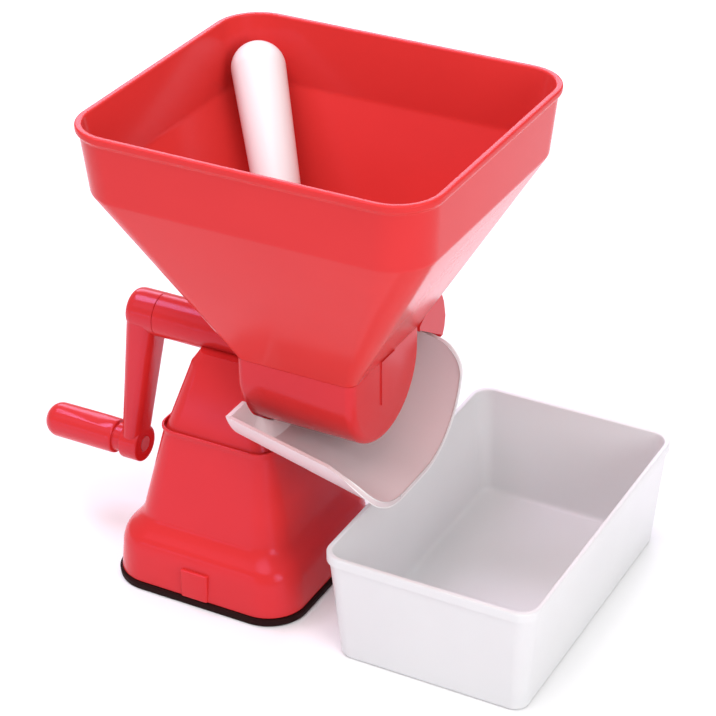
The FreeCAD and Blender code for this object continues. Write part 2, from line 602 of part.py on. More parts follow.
wing_y = "dims.barrel_radius + dims.wing_reach"
WING_OUTER = [
    ("dims.barrel_radius - 1", "dims.joint_height - 2"),
    (f"{wing_y} - 12", "dims.axis_height + 26.5"),
    (f"{wing_y} - 6.5", "dims.axis_height + 20.5"),
    (f"{wing_y} - 2.4", "dims.axis_height + 12"),
    (wing_y, "dims.axis_height + 1"),
    (f"{wing_y} - 1.2", "dims.axis_height - 6"),
    (f"{wing_y} - 3.7", "dims.axis_height - 11.3"),
]
WING_INNER = [
    (f"{wing_y} - 3.7 - dims.wing_wall", "dims.axis_height - 11.3"),
    (f"{wing_y} - 1.2 - dims.wing_wall", "dims.axis_height - 6"),
    (f"{wing_y} - dims.wing_wall", "dims.axis_height + 0.4"),
    (f"{wing_y} - 2.4 - dims.wing_wall", "dims.axis_height + 10.8"),
    (f"{wing_y} - 6.5 - 0.8 * dims.wing_wall", "dims.axis_height + 20.5 - 0.8 * dims.wing_wall"),
    (f"{wing_y} - 12 - 0.4 * dims.wing_wall", "dims.axis_height + 26.5 - 1.2 * dims.wing_wall"),
    ("dims.barrel_radius - 1", "dims.joint_height - 2 - 1.2 * dims.wing_wall"),
]
wing = body("wing_hook")
padded(wing, "wing_strip", polygon(wing, "wing_section", "YZ_Plane", WING_OUTER + WING_INNER,
                                   "dims.wing_left"), "dims.barrel_right - dims.wing_left")
padded(wing, "wing_web", polygon(wing, "wing_end", "YZ_Plane", WING_OUTER + [
    ("dims.barrel_radius - 1", "dims.axis_height + 8")], "dims.barrel_right - dims.barrel_wall"),
    "dims.barrel_wall")

column_bosses = [shared(f"column_boss_{i}", column_outside, cylinder(
    f"column_boss_rod_{i}", "Z",
    (f"{sx} * dims.screw_spread_x", f"{sy} * dims.screw_spread_y", "dims.seam_height"),
    "dims.screw_boss", "dims.screw_length")) for i, (sx, sy) in
    enumerate(((-1, -1), (1, -1), (1, 1), (-1, 1)))]
bearing_tube = less("bearing_tube", cylinder(
    "bearing_tube_blank", "X", ("dims.tube_left", "0", "dims.axis_height"), "dims.tube_radius",
    "dims.barrel_left - dims.tube_left + 1"), [
    box("hopper_edge_clear", ("dims.barrel_left - 2.4", "-dims.tube_radius - 1", "dims.joint_height"),
        ("5", "2 * dims.tube_radius + 2", "dims.tube_radius"))])
body_outside = joined("body_outside", [
    column, barrel_drum, barrel_throat, wing,
    bearing_tube,
    box("end_pad", ("dims.barrel_right - 0.5", "-dims.end_pad_width / 2",
                    "dims.axis_height - dims.end_pad_depth"),
        ("dims.end_pad_rise + 0.5", "dims.end_pad_width",
         "dims.end_pad_depth + dims.joint_height - dims.axis_height"))] + column_bosses)

inside_left = "dims.barrel_left + dims.barrel_wall"
inside_right = "dims.barrel_right - dims.barrel_wall"
inside_radius = "dims.barrel_radius - dims.barrel_wall"
barrel_space = [
    cylinder("barrel_space", "X", (inside_left, "0", "dims.axis_height"), inside_radius,
             f"{inside_right} - ({inside_left})"),
    box("throat_space", (inside_left, f"-({inside_radius})", "dims.axis_height"),
        (f"{inside_right} - ({inside_left})", f"2 * ({inside_radius})",
         "dims.joint_height - dims.axis_height + 40")),
    box("juice_slot", ("dims.slot_left", "-dims.slot_width / 2", "dims.axis_height - dims.barrel_radius - 5"),
        ("dims.slot_right - dims.slot_left", "dims.slot_width", "dims.barrel_radius"))]
body_open = less("body_open", body_outside, barrel_space)

inner_seat = f"{inside_left} - dims.seal_thickness - dims.clip_thickness - dims.bush_length - 0.4"
end_boss_left = f"{inside_right} - dims.end_boss_length"
shaft_spaces = [
    cylinder("shaft_way", "X", ("dims.tube_left - 1", "0", "dims.axis_height"), "dims.shaft_radius + 0.8",
             "dims.barrel_left - dims.tube_left + 5"),
    cylinder("outer_seat", "X", ("dims.tube_left - 1", "0", "dims.axis_height"),
             "dims.bush_radius + dims.seat_gap", "dims.bush_length + 1"),
    cylinder("inner_seat", "X", (inner_seat, "0", "dims.axis_height"),
             "dims.bush_radius + dims.seat_gap", f"{inside_left} - ({inner_seat}) + 1"),
    cylinder("end_seat", "X", (f"{end_boss_left} - 1", "0", "dims.axis_height"),
             "dims.end_bush_radius + dims.seat_gap", "dims.end_boss_length + 2")]

# The chute's own frame: its X axis runs down the trough and ends under the middle of the lip
chute_turn = Rotation(Vector(0, 1, 0), size("dims.chute_slope"))
trough_turn = chute_turn.multiply(ALONG["X"])
trough_run = "((dims.chute_lip_x - dims.chute_left) / cos(dims.chute_slope * 1deg))"


def chute_point(along, across="0", above="0"):
    """World place of a point in the chute's frame."""
    slope = "(dims.chute_slope * 1deg)"
    return (f"dims.chute_lip_x + ({along}) * cos{slope} + ({above}) * sin{slope}", across,
            f"dims.chute_floor - ({along}) * sin{slope} + ({above}) * cos{slope}")


tongue_left = "(dims.column_half - dims.column_wall - dims.tongue_reach)"


def tongue(name, gap):
    """Flat tongue on the end of the trough's floor that plugs into the column."""
    plate = box(name, ("0", "0", "0"), (
        f"25 + 4 * {gap}", f"2 * (dims.tongue_half + {gap})", f"dims.chute_wall + 2 * {gap}"))
    start = f"-(dims.chute_lip_x - {tongue_left}) / cos(dims.chute_slope * 1deg) - 2 * {gap}"
    return place(plate, chute_point(start, f"-dims.tongue_half - {gap}", f"-{gap}"), chute_turn)


upper_body = less("upper_body", joined("body_with_end_boss", [
    body_open, cylinder("end_boss", "X", (end_boss_left, "0", "dims.axis_height"), "dims.end_boss_radius",
                        "dims.end_boss_length + 0.5")]), shaft_spaces + [tongue("tongue_slot", "dims.tongue_gap")] + [
    cylinder(f"boss_thread_{i}", "Z",
             (f"{sx} * dims.screw_spread_x", f"{sy} * dims.screw_spread_y", "dims.seam_height - 1"),
             "dims.screw_radius + dims.seat_gap", "dims.screw_length - dims.deck_thickness + 2")
    for i, (sx, sy) in enumerate(((-1, -1), (1, -1), (1, 1), (-1, 1)))])

# Chute: sloping trough cut off upright at both ends, with a left end wall, notched for column and barrel


def trough_tube(name, inset):
    """Rounded square tube along the slope, drawn in by the inset; its local X axis points down."""
    owner = body(name)
    padded(owner, name + "_run", rounded_rectangle(
        owner, name + "_section", f"-{trough_run} - 40",
        (f"-3 * dims.chute_corner + {inset}", f"-dims.chute_half + {inset}"),
        (f"-({inset})", f"dims.chute_half - {inset}"), f"dims.chute_corner - {inset}"), f"{trough_run} + 80")
    return place(owner, chute_point("0"), trough_turn)


def above_rim(name, x, height, fall, low):
    """Space over one side of the trough, above a rim that has the given height at x and falls to the lip."""
    back = "160"
    block = box(name, ("0", "0", "0"), ("300", "100", "200"))
    return place(block, (f"{x} - {back} * cos({fall} * 1deg)", low, f"{height} + {back} * sin({fall} * 1deg)"),
                 Rotation(Vector(0, 1, 0), size(fall)))


def lip_corner(name, radius, rim, low):
    """Space outside a rounded lip corner, seen across the trough: a block less a quarter round."""
    block = box(name + "_block", (f"dims.chute_lip_x - {radius}", low, f"{rim} - {radius}"),
                (f"{radius} + 2", "50", f"2 * {radius}"))
    roller = cylinder(name + "_round", "Y", (f"dims.chute_lip_x - {radius}", f"{low} - 5", f"{rim} - {radius}"),
                      radius, "60")
    return less(name, block, [roller])


front_rim_at_round = ("(dims.chute_front_rim - (dims.chute_lip_x - dims.chute_front_round - dims.chute_left)"
                      " * tan(dims.front_rim_fall * 1deg))")
back_rim_at_round = "(dims.chute_back_rim + dims.chute_back_round * tan(dims.chute_slope * 1deg))"
trough_length = box("trough_length", ("dims.chute_left", "-dims.chute_half - 5", "0"), (
    "dims.chute_lip_x - dims.chute_left", "2 * dims.chute_half + 10", "dims.axis_height + 100"))
trough = less("trough", shared("trough_cut_off", trough_tube("trough_outside", "0"), trough_length), [
    trough_tube("trough_inside", "dims.chute_wall"),
    above_rim("above_front_rim", "dims.chute_left", "dims.chute_front_rim", "dims.front_rim_fall", "-100"),
    above_rim("above_back_rim", "dims.chute_lip_x", "dims.chute_back_rim", "dims.chute_slope", "0"),
    lip_corner("lip_back", "dims.chute_back_round", back_rim_at_round, "dims.chute_half - 40"),
    lip_corner("lip_front", "dims.chute_front_round", front_rim_at_round, "-dims.chute_half - 1")])
end_wall = shared("chute_end_wall", trough_tube("end_wall_tube", "dims.chute_wall / 2"), box(
    "end_wall_slab", ("dims.chute_left", "-dims.chute_half", "dims.chute_floor"),
    ("dims.chute_wall", "2 * dims.chute_half", "dims.chute_front_rim - dims.chute_floor")))
chute_clear = [
    column_loft("column_clearance", "dims.chute_notch_gap", "dims.seam_height", "0"),
    cylinder("barrel_clearance", "X", ("-20", "0", "dims.axis_height"),
             "dims.barrel_radius + dims.chute_notch_gap", "dims.barrel_right + 40"),
    box("throat_clearance", ("-20", "-dims.barrel_radius - dims.chute_notch_gap", "dims.axis_height"),
        ("dims.barrel_right + 40", "2 * (dims.barrel_radius + dims.chute_notch_gap)", "100"))]
chute = joined("chute", [
    less("chute_notched", joined("chute_blank", [trough, end_wall]), chute_clear),
    tongue("chute_tongue", "0")])

# Drive shaft and its bearings
hub_right = "dims.tube_left - dims.turn_gap"
hub_left = f"{hub_right} - dims.hub_length"
shaft_left = f"{hub_left} + 5"
square_left = "dims.rotor_left - 2"
journal_left = "dims.rotor_right"
shaft_right = f"{inside_right} - 0.2"
drive_shaft = joined("drive_shaft", [
    cylinder("shaft_rod", "X", (shaft_left, "0", "dims.axis_height"), "dims.shaft_radius",
             f"{square_left} - ({shaft_left})"),
    box("shaft_square_drive", (square_left, "-dims.shaft_square / 2", "dims.axis_height - dims.shaft_square / 2"),
        (f"{journal_left} - ({square_left})", "dims.shaft_square", "dims.shaft_square")),
    cylinder("shaft_journal", "X", (journal_left, "0", "dims.axis_height"), "dims.journal_radius",
             f"{shaft_right} - ({journal_left})")])


def bush(name, left, length, radius, bore):
    """Plain ring on the crank axis."""
    return less(name, cylinder(name + "_ring", "X", (left, "0", "dims.axis_height"), radius, length), [
        cylinder(name + "_bore", "X", (f"{left} - 1", "0", "dims.axis_height"), bore, f"{length} + 2")])


RUNNING_BORE = "dims.shaft_radius + dims.running_gap"
outer_bush = bush("outer_bush", "dims.tube_left", "dims.bush_length", "dims.bush_radius", RUNNING_BORE)
inner_bush = bush("inner_bush", inner_seat, "dims.bush_length", "dims.bush_radius", RUNNING_BORE)
clip_left = f"{inner_seat} + dims.bush_length + 0.1"
shaft_circlip = bush("shaft_circlip", clip_left, "dims.clip_thickness", "dims.clip_radius",
                     "dims.shaft_radius + dims.seat_gap")
shaft_seal = bush("shaft_seal", f"{inside_left} - dims.seal_thickness", "dims.seal_thickness",
                  "dims.bush_radius", RUNNING_BORE)
end_bush = bush("end_bush", end_boss_left, "dims.end_boss_length", "dims.end_bush_radius",
                "dims.journal_radius + dims.running_gap")

# Crank: hub, arm and knob boss, hanging from the axis with a slight lean
CRANK_TURN = Rotation(Vector(1, 0, 0), -size("dims.crank_lean"))


def on_crank(solid, at, axis="X"):
    """Place a crank piece by its own (x, y, z), measured from the crank axis before the lean."""
    lean = "(dims.crank_lean * 1deg)"
    x, y, z = at
    return place(solid, (
        x, f"({y}) * cos{lean} + ({z}) * sin{lean}",
        f"dims.axis_height + ({z}) * cos{lean} - ({y}) * sin{lean}"), CRANK_TURN.multiply(ALONG[axis]))


def crank_cylinder(name, at, radius, length, axis="X"):
    return on_crank(cylinder(name, axis, ("0", "0", "0"), radius, length), at, axis)


boss_left = f"{hub_left} - dims.boss_proud"
boss_length = "dims.arm_thickness + 0.5"
arm = body("arm_bar")
lofted(arm, "arm_taper", [
    rounded_rectangle(arm, "arm_at_hub", "0", (hub_left, "-dims.arm_top_half"),
                      (f"{hub_left} + dims.arm_top_thickness", "dims.arm_top_half"), "dims.arm_corner"),
    rounded_rectangle(arm, "arm_at_boss", "-dims.crank_length", (boss_left, "-dims.boss_radius + 1.5"),
                      (f"{boss_left} + dims.arm_thickness", "dims.boss_radius - 1.5"), "dims.arm_corner - 1")])
on_crank(arm, ("0", "0", "0"), "Z")
hub_soft = rounded("hub_rounded", crank_cylinder("crank_hub", (hub_left, "0", "0"), "dims.tube_radius",
                                                 "dims.hub_length"), size("dims.hub_round"),
                   lambda edge: end_circle(edge) and edge.CenterOfMass.x < size(hub_left) + 1)
knob_axis = "-dims.crank_length"
boss_soft = rounded("boss_rounded", crank_cylinder("knob_boss", (boss_left, "0", knob_axis), "dims.boss_radius",
                                                   boss_length), 1.5, end_circle)
screw_x = f"{hub_right} - 6"
crank_arm = less("crank_arm", joined("crank_solid", [hub_soft, arm, boss_soft]), [
    crank_cylinder("hub_bore", (shaft_left, "0", "0"), "dims.shaft_radius + dims.seat_gap", "dims.hub_length"),
    crank_cylinder("pin_bore", (f"{boss_left} - 1", "0", knob_axis), "dims.pin_radius + dims.seat_gap",
                   f"{boss_length} + 2"),
    crank_cylinder("pin_head_seat", (f"{boss_left} + {boss_length} - dims.pin_head_height", "0", knob_axis),
                   "dims.pin_head + dims.seat_gap", "dims.pin_head_height + 1"),
    crank_cylinder("screw_way", (screw_x, "dims.shaft_radius - 1", "0"), "dims.screw_radius + dims.seat_gap",
                   "dims.tube_radius", "Y"),
    crank_cylinder("screw_head_way", (screw_x, "dims.tube_radius - dims.screw_head_height - 1", "0"),
                   "dims.screw_head + 0.1", "dims.screw_head_height + 3", "Y")])
hub_screw_length = "dims.tube_radius - dims.screw_head_height - 1 - dims.shaft_radius"
hub_screw = on_crank(screw("hub_screw", "Y", ("0", "0", "0"), hub_screw_length), (
    screw_x, "dims.tube_radius - 1", "0"), "Y")
hub_screw.Placement = FreeCAD.Placement(
    hub_screw.Placement.Base, CRANK_TURN.multiply(Rotation(Vector(1, 0, 0), 90)))

# Knob on its pin
collar_right = f"{boss_left} - dims.turn_gap"
knob_right = f"{collar_right} - dims.collar_length"
knob_left = f"{knob_right} - dims.knob_length"
pin_end = f"{knob_left} + 18"
knob_soft = rounded("knob_rounded", crank_cylinder("knob_grip", (knob_left, "0", knob_axis), "dims.knob_radius",
                                                   "dims.knob_length"), size("dims.knob_dome"),
                    lambda edge: end_circle(edge) and edge.CenterOfMass.x < size(knob_left) + 1)
knob_soft = rounded("knob_shoulder_rounded", knob_soft, 2.0,
                    lambda edge: end_circle(edge) and edge.CenterOfMass.x > size(knob_right) - 1)
crank_knob = less("crank_knob", joined("knob_solid", [
    knob_soft, crank_cylinder("knob_collar", (f"{knob_right} - 1", "0", knob_axis), "dims.collar_radius",
                              "dims.collar_length + 1")]), [
    crank_cylinder("knob_bore", (f"{pin_end} - 1", "0", knob_axis), "dims.pin_radius + dims.running_gap",
                   f"{collar_right} - ({pin_end}) + 2"),
    crank_cylinder("knob_flange_space", (f"{pin_end} - dims.turn_gap", "0", knob_axis),
                   "dims.pin_head + dims.turn_gap", "dims.pin_head_height + 2 * dims.turn_gap")])
knob_pin = joined("knob_pin", [
    crank_cylinder("pin_rod", (pin_end, "0", knob_axis), "dims.pin_radius",
                   f"{boss_left} + {boss_length} - ({pin_end})"),
    crank_cylinder("pin_head_disc", (f"{boss_left} + {boss_length} - dims.pin_head_height", "0", knob_axis),
                   "dims.pin_head", "dims.pin_head_height"),
    crank_cylinder("pin_flange", (pin_end, "0", knob_axis), "dims.pin_head", "dims.pin_head_height")])

# Press rotor: a hub with two blades, twisted along the axis
BLADE_SECTIONS = 7
rotor_length = "dims.rotor_right - dims.rotor_left"
blades = body("rotor_blades")
blade_reach = "dims.rotor_radius + 2"
blade_outlines = [polygon(blades, f"blade_section_{i}", "XY_Plane", [
    (f"-({blade_reach})", "-dims.blade_thickness / 2"), (blade_reach, "-dims.blade_thickness / 2"),
    (blade_reach, "dims.blade_thickness / 2"), (f"-({blade_reach})", "dims.blade_thickness / 2")],
    f"({rotor_length}) * {i} / {BLADE_SECTIONS - 1}",
    f"dims.blade_twist * {i} / {BLADE_SECTIONS - 1}") for i in range(BLADE_SECTIONS)]
lofted(blades, "blade_twist_loft", blade_outlines).Ruled = False
place(blades, ("dims.rotor_left", "0", "dims.axis_height"), ALONG["X"])
blades_trimmed = shared("blades_trimmed", blades, cylinder(
    "rotor_sweep", "X", ("dims.rotor_left", "0", "dims.axis_height"), "dims.rotor_radius", rotor_length))
drive_hole = box("rotor_drive_hole", (
    "dims.rotor_left - 1", "-dims.shaft_square / 2 - dims.seat_gap",
    "dims.axis_height - dims.shaft_square / 2 - dims.seat_gap"), (
    f"{rotor_length} + 2", "dims.shaft_square + 2 * dims.seat_gap", "dims.shaft_square + 2 * dims.seat_gap"))
press_rotor = less("press_rotor", joined("rotor_solid", [
    blades_trimmed, cylinder("rotor_hub_rod", "X", ("dims.rotor_left", "0", "dims.axis_height"),
                             "dims.rotor_hub", rotor_length)]), [drive_hole])

# Sieve: sheet bent to a half drum with straight sides, pierced in rows
sieve_radius = f"{inside_radius} - dims.sieve_gap"
sieve_left = f"{inside_left} + dims.sieve_gap"
sieve_length = f"{inside_right} - ({inside_left}) - 2 * dims.sieve_gap"
sieve_side = "dims.joint_height - dims.spigot_depth - dims.axis_height - 0.5"


def drum_and_sides(name, radius, grow):
    """Half drum below the axis with straight sides above it."""
    length = f"{sieve_length} + 2 * {grow}"
    left = f"{sieve_left} - {grow}"
    drum = cylinder(name + "_drum", "X", (left, "0", "dims.axis_height"), radius, length)
    sides = box(name + "_sides", (left, f"-({radius})", "dims.axis_height"),
                (length, f"2 * ({radius})", f"dims.barrel_radius + 10 + {grow}"))
    return joined(name, [drum, sides])


sieve_sheet = less("sieve_sheet_blank", drum_and_sides("sieve_outside", sieve_radius, "0"), [
    drum_and_sides("sieve_inside", f"{sieve_radius} - dims.sieve_sheet", "2")])
sieve_trim = box("sieve_trim", (f"{sieve_left} - 5", "-dims.barrel_radius", f"dims.axis_height + {sieve_side}"), (
    f"{sieve_length} + 10", "2 * dims.barrel_radius", "dims.barrel_radius + 20"))
SIEVE_ROWS = 9
SIEVE_COLUMNS = 8
ROW_STEP = 16.0
sieve_holes = []
for row in range(SIEVE_ROWS):
    swing = ROW_STEP * (row - (SIEVE_ROWS - 1) / 2)
    for column_index in range(SIEVE_COLUMNS):
        hole = doc.addObject("Part::Box", f"sieve_hole_{row}_{column_index}")
        bind(hole, "Length", "dims.sieve_slot")
        bind(hole, "Width", "dims.sieve_hole")
        bind(hole, "Height", "6 * dims.sieve_sheet")
        angle = math.radians(swing)
        depth = f"({sieve_radius} + 2 * dims.sieve_sheet)"
        half = "dims.sieve_hole / 2"
        pitch = f"({sieve_length}) / {SIEVE_COLUMNS}"
        shift = 0.25 if row % 2 else 0.0
        place(hole, (
            f"{sieve_left} + {pitch} * ({column_index} + {shift} + 0.2)",
            f"{depth} * {math.sin(angle):.6f} - {half} * {math.cos(angle):.6f}",
            f"dims.axis_height - {depth} * {math.cos(angle):.6f} - {half} * {math.sin(angle):.6f}"),
            Rotation(Vector(1, 0, 0), swing))
        sieve_holes.append(hole)
sieve = less("sieve", sieve_sheet, [sieve_trim, grouped("sieve_piercing", sieve_holes)])

# Hopper: rim bead, band, funnel and spigot
band_low = "dims.rim_top - dims.band_height"
HOPPER_STEPS = [
    ("dims.joint_height", ("dims.barrel_left", "dims.barrel_right"), "dims.barrel_radius", "dims.throat_corner"),
    (band_low, ("dims.rim_left + dims.rim_bead + dims.band_draft", "dims.rim_right - dims.rim_bead - dims.band_draft"),
     "dims.rim_half - dims.rim_bead - dims.band_draft", "dims.rim_corner - dims.rim_bead"),
    ("dims.rim_top", ("dims.rim_left + dims.rim_bead", "dims.rim_right - dims.rim_bead"),
     "dims.rim_half - dims.rim_bead", "dims.rim_corner - dims.rim_bead"),
]


def hopper_section(owner, name, height, ends, half, corner, inset):
    """Level section of the hopper, drawn in by the inset."""
    return rounded_rectangle(owner, name, height, (f"{ends[0]} + {inset}", f"-({half}) + {inset}"),
                             (f"{ends[1]} - {inset}", f"{half} - {inset}"), f"{corner} - {inset}")


hopper = body("hopper")
lofted(hopper, "hopper_outside", [
    hopper_section(hopper, f"hopper_step_{i}", *step, "0") for i, step in enumerate(HOPPER_STEPS)])
padded(hopper, "rim_bead_ring", rounded_rectangle(
    hopper, "rim_outline", "dims.rim_top - dims.rim_bead_height", ("dims.rim_left", "-dims.rim_half"),
    ("dims.rim_right", "dims.rim_half"), "dims.rim_corner"), "dims.rim_bead_height")
padded(hopper, "spigot", rounded_rectangle(
    hopper, "spigot_outline", "dims.joint_height - dims.spigot_depth",
    (f"{inside_left} + dims.spigot_gap", f"-({inside_radius}) + dims.spigot_gap"),
    (f"{inside_right} - dims.spigot_gap", f"{inside_radius} - dims.spigot_gap"),
    "dims.throat_corner - dims.hopper_wall"), "dims.spigot_depth")
spigot_inset = "(dims.barrel_wall + dims.spigot_gap + dims.spigot_wall)"
lofted(hopper, "hopper_inside", [
    hopper_section(hopper, f"hopper_inner_{i}", *step, spigot_inset if i == 0 else "dims.hopper_wall")
    for i, step in enumerate(HOPPER_STEPS)], "Subtractive")
spigot_way = hopper.newObject("PartDesign::Pocket", "spigot_way")
spigot_way.Profile = hopper_section(hopper, "spigot_way_outline", *HOPPER_STEPS[0], spigot_inset)
bind(spigot_way, "Length", "dims.spigot_depth + 1")

# Pusher: tapered plunger with a domed top, its dome in the hopper's back left corner, its foot over the rotor
dome_share = f"(dims.rim_top - dims.dome_drop - ({band_low})) / dims.band_height"
dome_draft = f"dims.band_draft * (1 - {dome_share})"
corner_inset = "dims.rim_corner"
corner_x = size(f"dims.rim_left + {dome_draft} + {corner_inset}")
corner_y = size(f"dims.rim_half - ({dome_draft}) - {corner_inset}")
CORNER_HEADING = math.radians(126)
dome_room = size("dims.rim_corner - dims.rim_bead - dims.hopper_wall - dims.pusher_top_radius - dims.pusher_gap")
dome = Vector(corner_x + dome_room * math.cos(CORNER_HEADING), corner_y + dome_room * math.sin(CORNER_HEADING),
              size("dims.rim_top - dims.dome_drop"))
foot = Vector(size("dims.pusher_foot_x"), size("dims.pusher_foot_y"),
              size("dims.axis_height + dims.rotor_radius + dims.pusher_foot_lift"))
pusher_turn = Rotation(Vector(0, 0, 1), dome - foot)
pusher_length = (dome - foot).Length
pusher_cone = doc.addObject("Part::Cone", "pusher_taper")
bind(pusher_cone, "Radius1", "dims.pusher_foot_radius")
bind(pusher_cone, "Radius2", "dims.pusher_top_radius")
pusher_cone.Height = pusher_length
pusher_cone.Placement = FreeCAD.Placement(foot, pusher_turn)
pusher_ball = doc.addObject("Part::Sphere", "pusher_dome")
bind(pusher_ball, "Radius", "dims.pusher_top_radius")
pusher_ball.Placement = FreeCAD.Placement(dome, pusher_turn)
pusher = joined("pusher", [pusher_cone, pusher_ball])

# Tray: drafted box with rounded corners and a rim band
tray = body("tray")
tray_right = "dims.tray_left + dims.tray_length_x"
tray_back = "dims.tray_front + dims.tray_length_y"


def tray_section(name, height, inset):
    return rounded_rectangle(tray, name, height, (f"dims.tray_left + {inset}", f"dims.tray_front + {inset}"),
                             (f"{tray_right} - ({inset})", f"{tray_back} - ({inset})"),
                             f"dims.tray_corner - ({inset}) / 2")


lofted(tray, "tray_outside", [tray_section("tray_floor", "0", "dims.tray_rim + dims.tray_draft"),
                              tray_section("tray_top", "dims.tray_height", "dims.tray_rim")])
padded(tray, "tray_rim_band", tray_section("tray_rim_outline", "dims.tray_height - dims.tray_rim_height", "0"),
       "dims.tray_rim_height")
lofted(tray, "tray_inside", [
    tray_section("tray_inner_floor", "dims.tray_wall", "dims.tray_rim + dims.tray_draft + dims.tray_wall"),
    tray_section("tray_inner_top", "dims.tray_height", "dims.tray_rim + dims.tray_wall")], "Subtractive")

PIECES = [
    suction_lever, lever_screw, cam_axle, lift_cam, pad_stem, guide_bridge, bridge_screws, base_screws,
    pad, base_foot, upper_body, outer_bush, inner_bush, shaft_circlip, shaft_seal, end_bush, drive_shaft,
    crank_arm, hub_screw, knob_pin, crank_knob, press_rotor, sieve, hopper, pusher, chute, tray,
]

doc.recompute()
failed = [o.Name for o in doc.Objects if {"Invalid", "Error"} & set(o.State)]
if failed:
    raise RuntimeError("objects failed: " + ", ".join(failed))
for piece in PIECES:
    if piece.Shape.isNull() or not piece.Shape.isValid() or not piece.Shape.Solids:
        raise RuntimeError("bad shape: " + piece.Label)

os.makedirs("parts", exist_ok=True)
for piece in PIECES:
    piece.Shape.exportStep(f"parts/{piece.Label}.step")
    print(piece.Label, len(piece.Shape.Solids), round(piece.Shape.Volume))
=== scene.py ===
import math

import bmesh
import bpy
import numpy as np
from mathutils import Matrix, Vector


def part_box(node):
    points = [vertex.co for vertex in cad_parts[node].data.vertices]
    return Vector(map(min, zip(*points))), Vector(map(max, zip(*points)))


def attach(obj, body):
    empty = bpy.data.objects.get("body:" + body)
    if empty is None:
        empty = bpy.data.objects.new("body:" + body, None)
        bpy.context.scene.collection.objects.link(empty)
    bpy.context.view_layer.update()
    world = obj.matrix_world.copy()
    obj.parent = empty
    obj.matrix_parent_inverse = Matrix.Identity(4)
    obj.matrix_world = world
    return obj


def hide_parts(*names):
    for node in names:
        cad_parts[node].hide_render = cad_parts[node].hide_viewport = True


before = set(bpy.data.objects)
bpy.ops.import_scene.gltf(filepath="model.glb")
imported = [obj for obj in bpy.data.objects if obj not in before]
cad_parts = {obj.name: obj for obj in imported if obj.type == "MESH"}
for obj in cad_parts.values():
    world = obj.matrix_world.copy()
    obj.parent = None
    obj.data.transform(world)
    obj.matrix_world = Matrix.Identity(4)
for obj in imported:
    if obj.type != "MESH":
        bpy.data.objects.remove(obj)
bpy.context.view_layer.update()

MM = 0.001
WHITE = (1.0, 1.0, 1.0)
ALONG_X = (1.0, 0.0, 0.0)

# Angles in degrees: a smooth surface, a rim, an edge that is rounded, and a flat that is joined
SMOOTH_BELOW, RIM_SMOOTH_BELOW, ROUNDED_ABOVE, FLAT_BELOW = 35.0, 40.0, 30.0, 0.6
MERGE_DISTANCE = 1e-6
EDGE_STEPS = 3
MOST_OF_SIDE = 0.45
TINY = 1e-9


# Surfaces

def soften(stations, reach, steps=5, closed=False):
    """Broken line of stations with its corners eased.

    A corner P between neighbours A and B becomes the parabola
    (1 - t)^2 P1 + 2 t (1 - t) P + t^2 P2, where P1 and P2 lie `reach` before and behind P,
    but never past MOST_OF_SIDE of a side. Lengths are measured on the first two columns.
    """
    line = np.asarray(stations, float)
    reach = np.broadcast_to(np.asarray(reach, float), len(line))
    before = np.roll(line, 1, axis=0)
    behind = np.roll(line, -1, axis=0)

    def toward(other):
        length = np.linalg.norm((other - line)[:, :2], axis=1)
        share = np.minimum(reach / np.maximum(length, TINY), MOST_OF_SIDE)
        return line + (other - line) * share[:, None]

    first, last = toward(before), toward(behind)
    if not closed:
        first[0] = last[0] = line[0]
        first[-1] = last[-1] = line[-1]
    t = np.linspace(0, 1, steps)[None, :, None]
    curve = (1 - t) ** 2 * first[:, None] + 2 * t * (1 - t) * line[:, None] + t ** 2 * last[:, None]
    return curve.reshape(-1, line.shape[1])


def eased(table, steps=5, closed=False):
    """Profile of a table whose last column is the easing of each corner."""
    rows = np.asarray(table, float)
    return soften(rows[:, :-1], rows[:, -1], steps, closed)


def rounded_rectangles(stations, per_corner):
    """Grid of level rounded rectangles, one row per station (z, x0, x1, y0, y1, r).

    Corner k is the quarter circle centre_k + r (cos a, sin a), with a from 90 k to 90 (k + 1) degrees.
    """
    z, x0, x1, y0, y1, r = np.asarray(stations, float).T
    centre_x = np.stack([x1 - r, x0 + r, x0 + r, x1 - r], axis=1)
    centre_y = np.stack([y1 - r, y1 - r, y0 + r, y0 + r], axis=1)
    angle = np.radians(np.linspace(0, 90, per_corner)[None, :] + 90 * np.arange(4)[:, None])
    x = centre_x[:, :, None] + r[:, None, None] * np.cos(angle)[None]
    y = centre_y[:, :, None] + r[:, None, None] * np.sin(angle)[None]
    level = np.broadcast_to(z[:, None, None], x.shape)
    return np.stack([x, y, level], axis=-1).reshape(len(z), -1, 3)


def squares(table):
    """Rows of squares about the Z axis from (z, half width, corner radius, easing)."""
    return [(z, -half, half, -half, half, corner, easing) for z, half, corner, easing in table]


def inset_rows(edges, corner, least, table):
    """Rows of a rectangle (x0, x1, y0, y1) from (z, inset, easing).

    The inset draws the four sides in, and the corner radius by half as much, down to the least radius.
    """
    x0, x1, y0, y1 = edges
    return [(z, x0 + inset, x1 - inset, y0 + inset, y1 - inset, max(corner - inset / 2, least), easing)
            for z, inset, easing in table]


def turned(profile, origin, axis, around=64):
    """Grid of circles about an axis, one row per (distance along, radius).

    A point is origin + along d + radius (cos a u + sin a v), with u and v square to the axis d.
    """
    along, radius = np.asarray(profile, float).T
    d = np.asarray(axis, float)
    d = d / np.linalg.norm(d)
    steep = abs(d[2]) >= 0.9
    helper = np.array([1.0, 0.0, 0.0]) if steep else np.array([0.0, 0.0, 1.0])
    u = np.cross(helper, d)
    u = u / np.linalg.norm(u)
    v = np.cross(d, u)
    angle = np.linspace(0, 2 * math.pi, around, endpoint=False)
    circle = np.cos(angle)[:, None] * u + np.sin(angle)[:, None] * v
    return np.asarray(origin, float) + along[:, None, None] * d + radius[:, None, None] * circle[None]


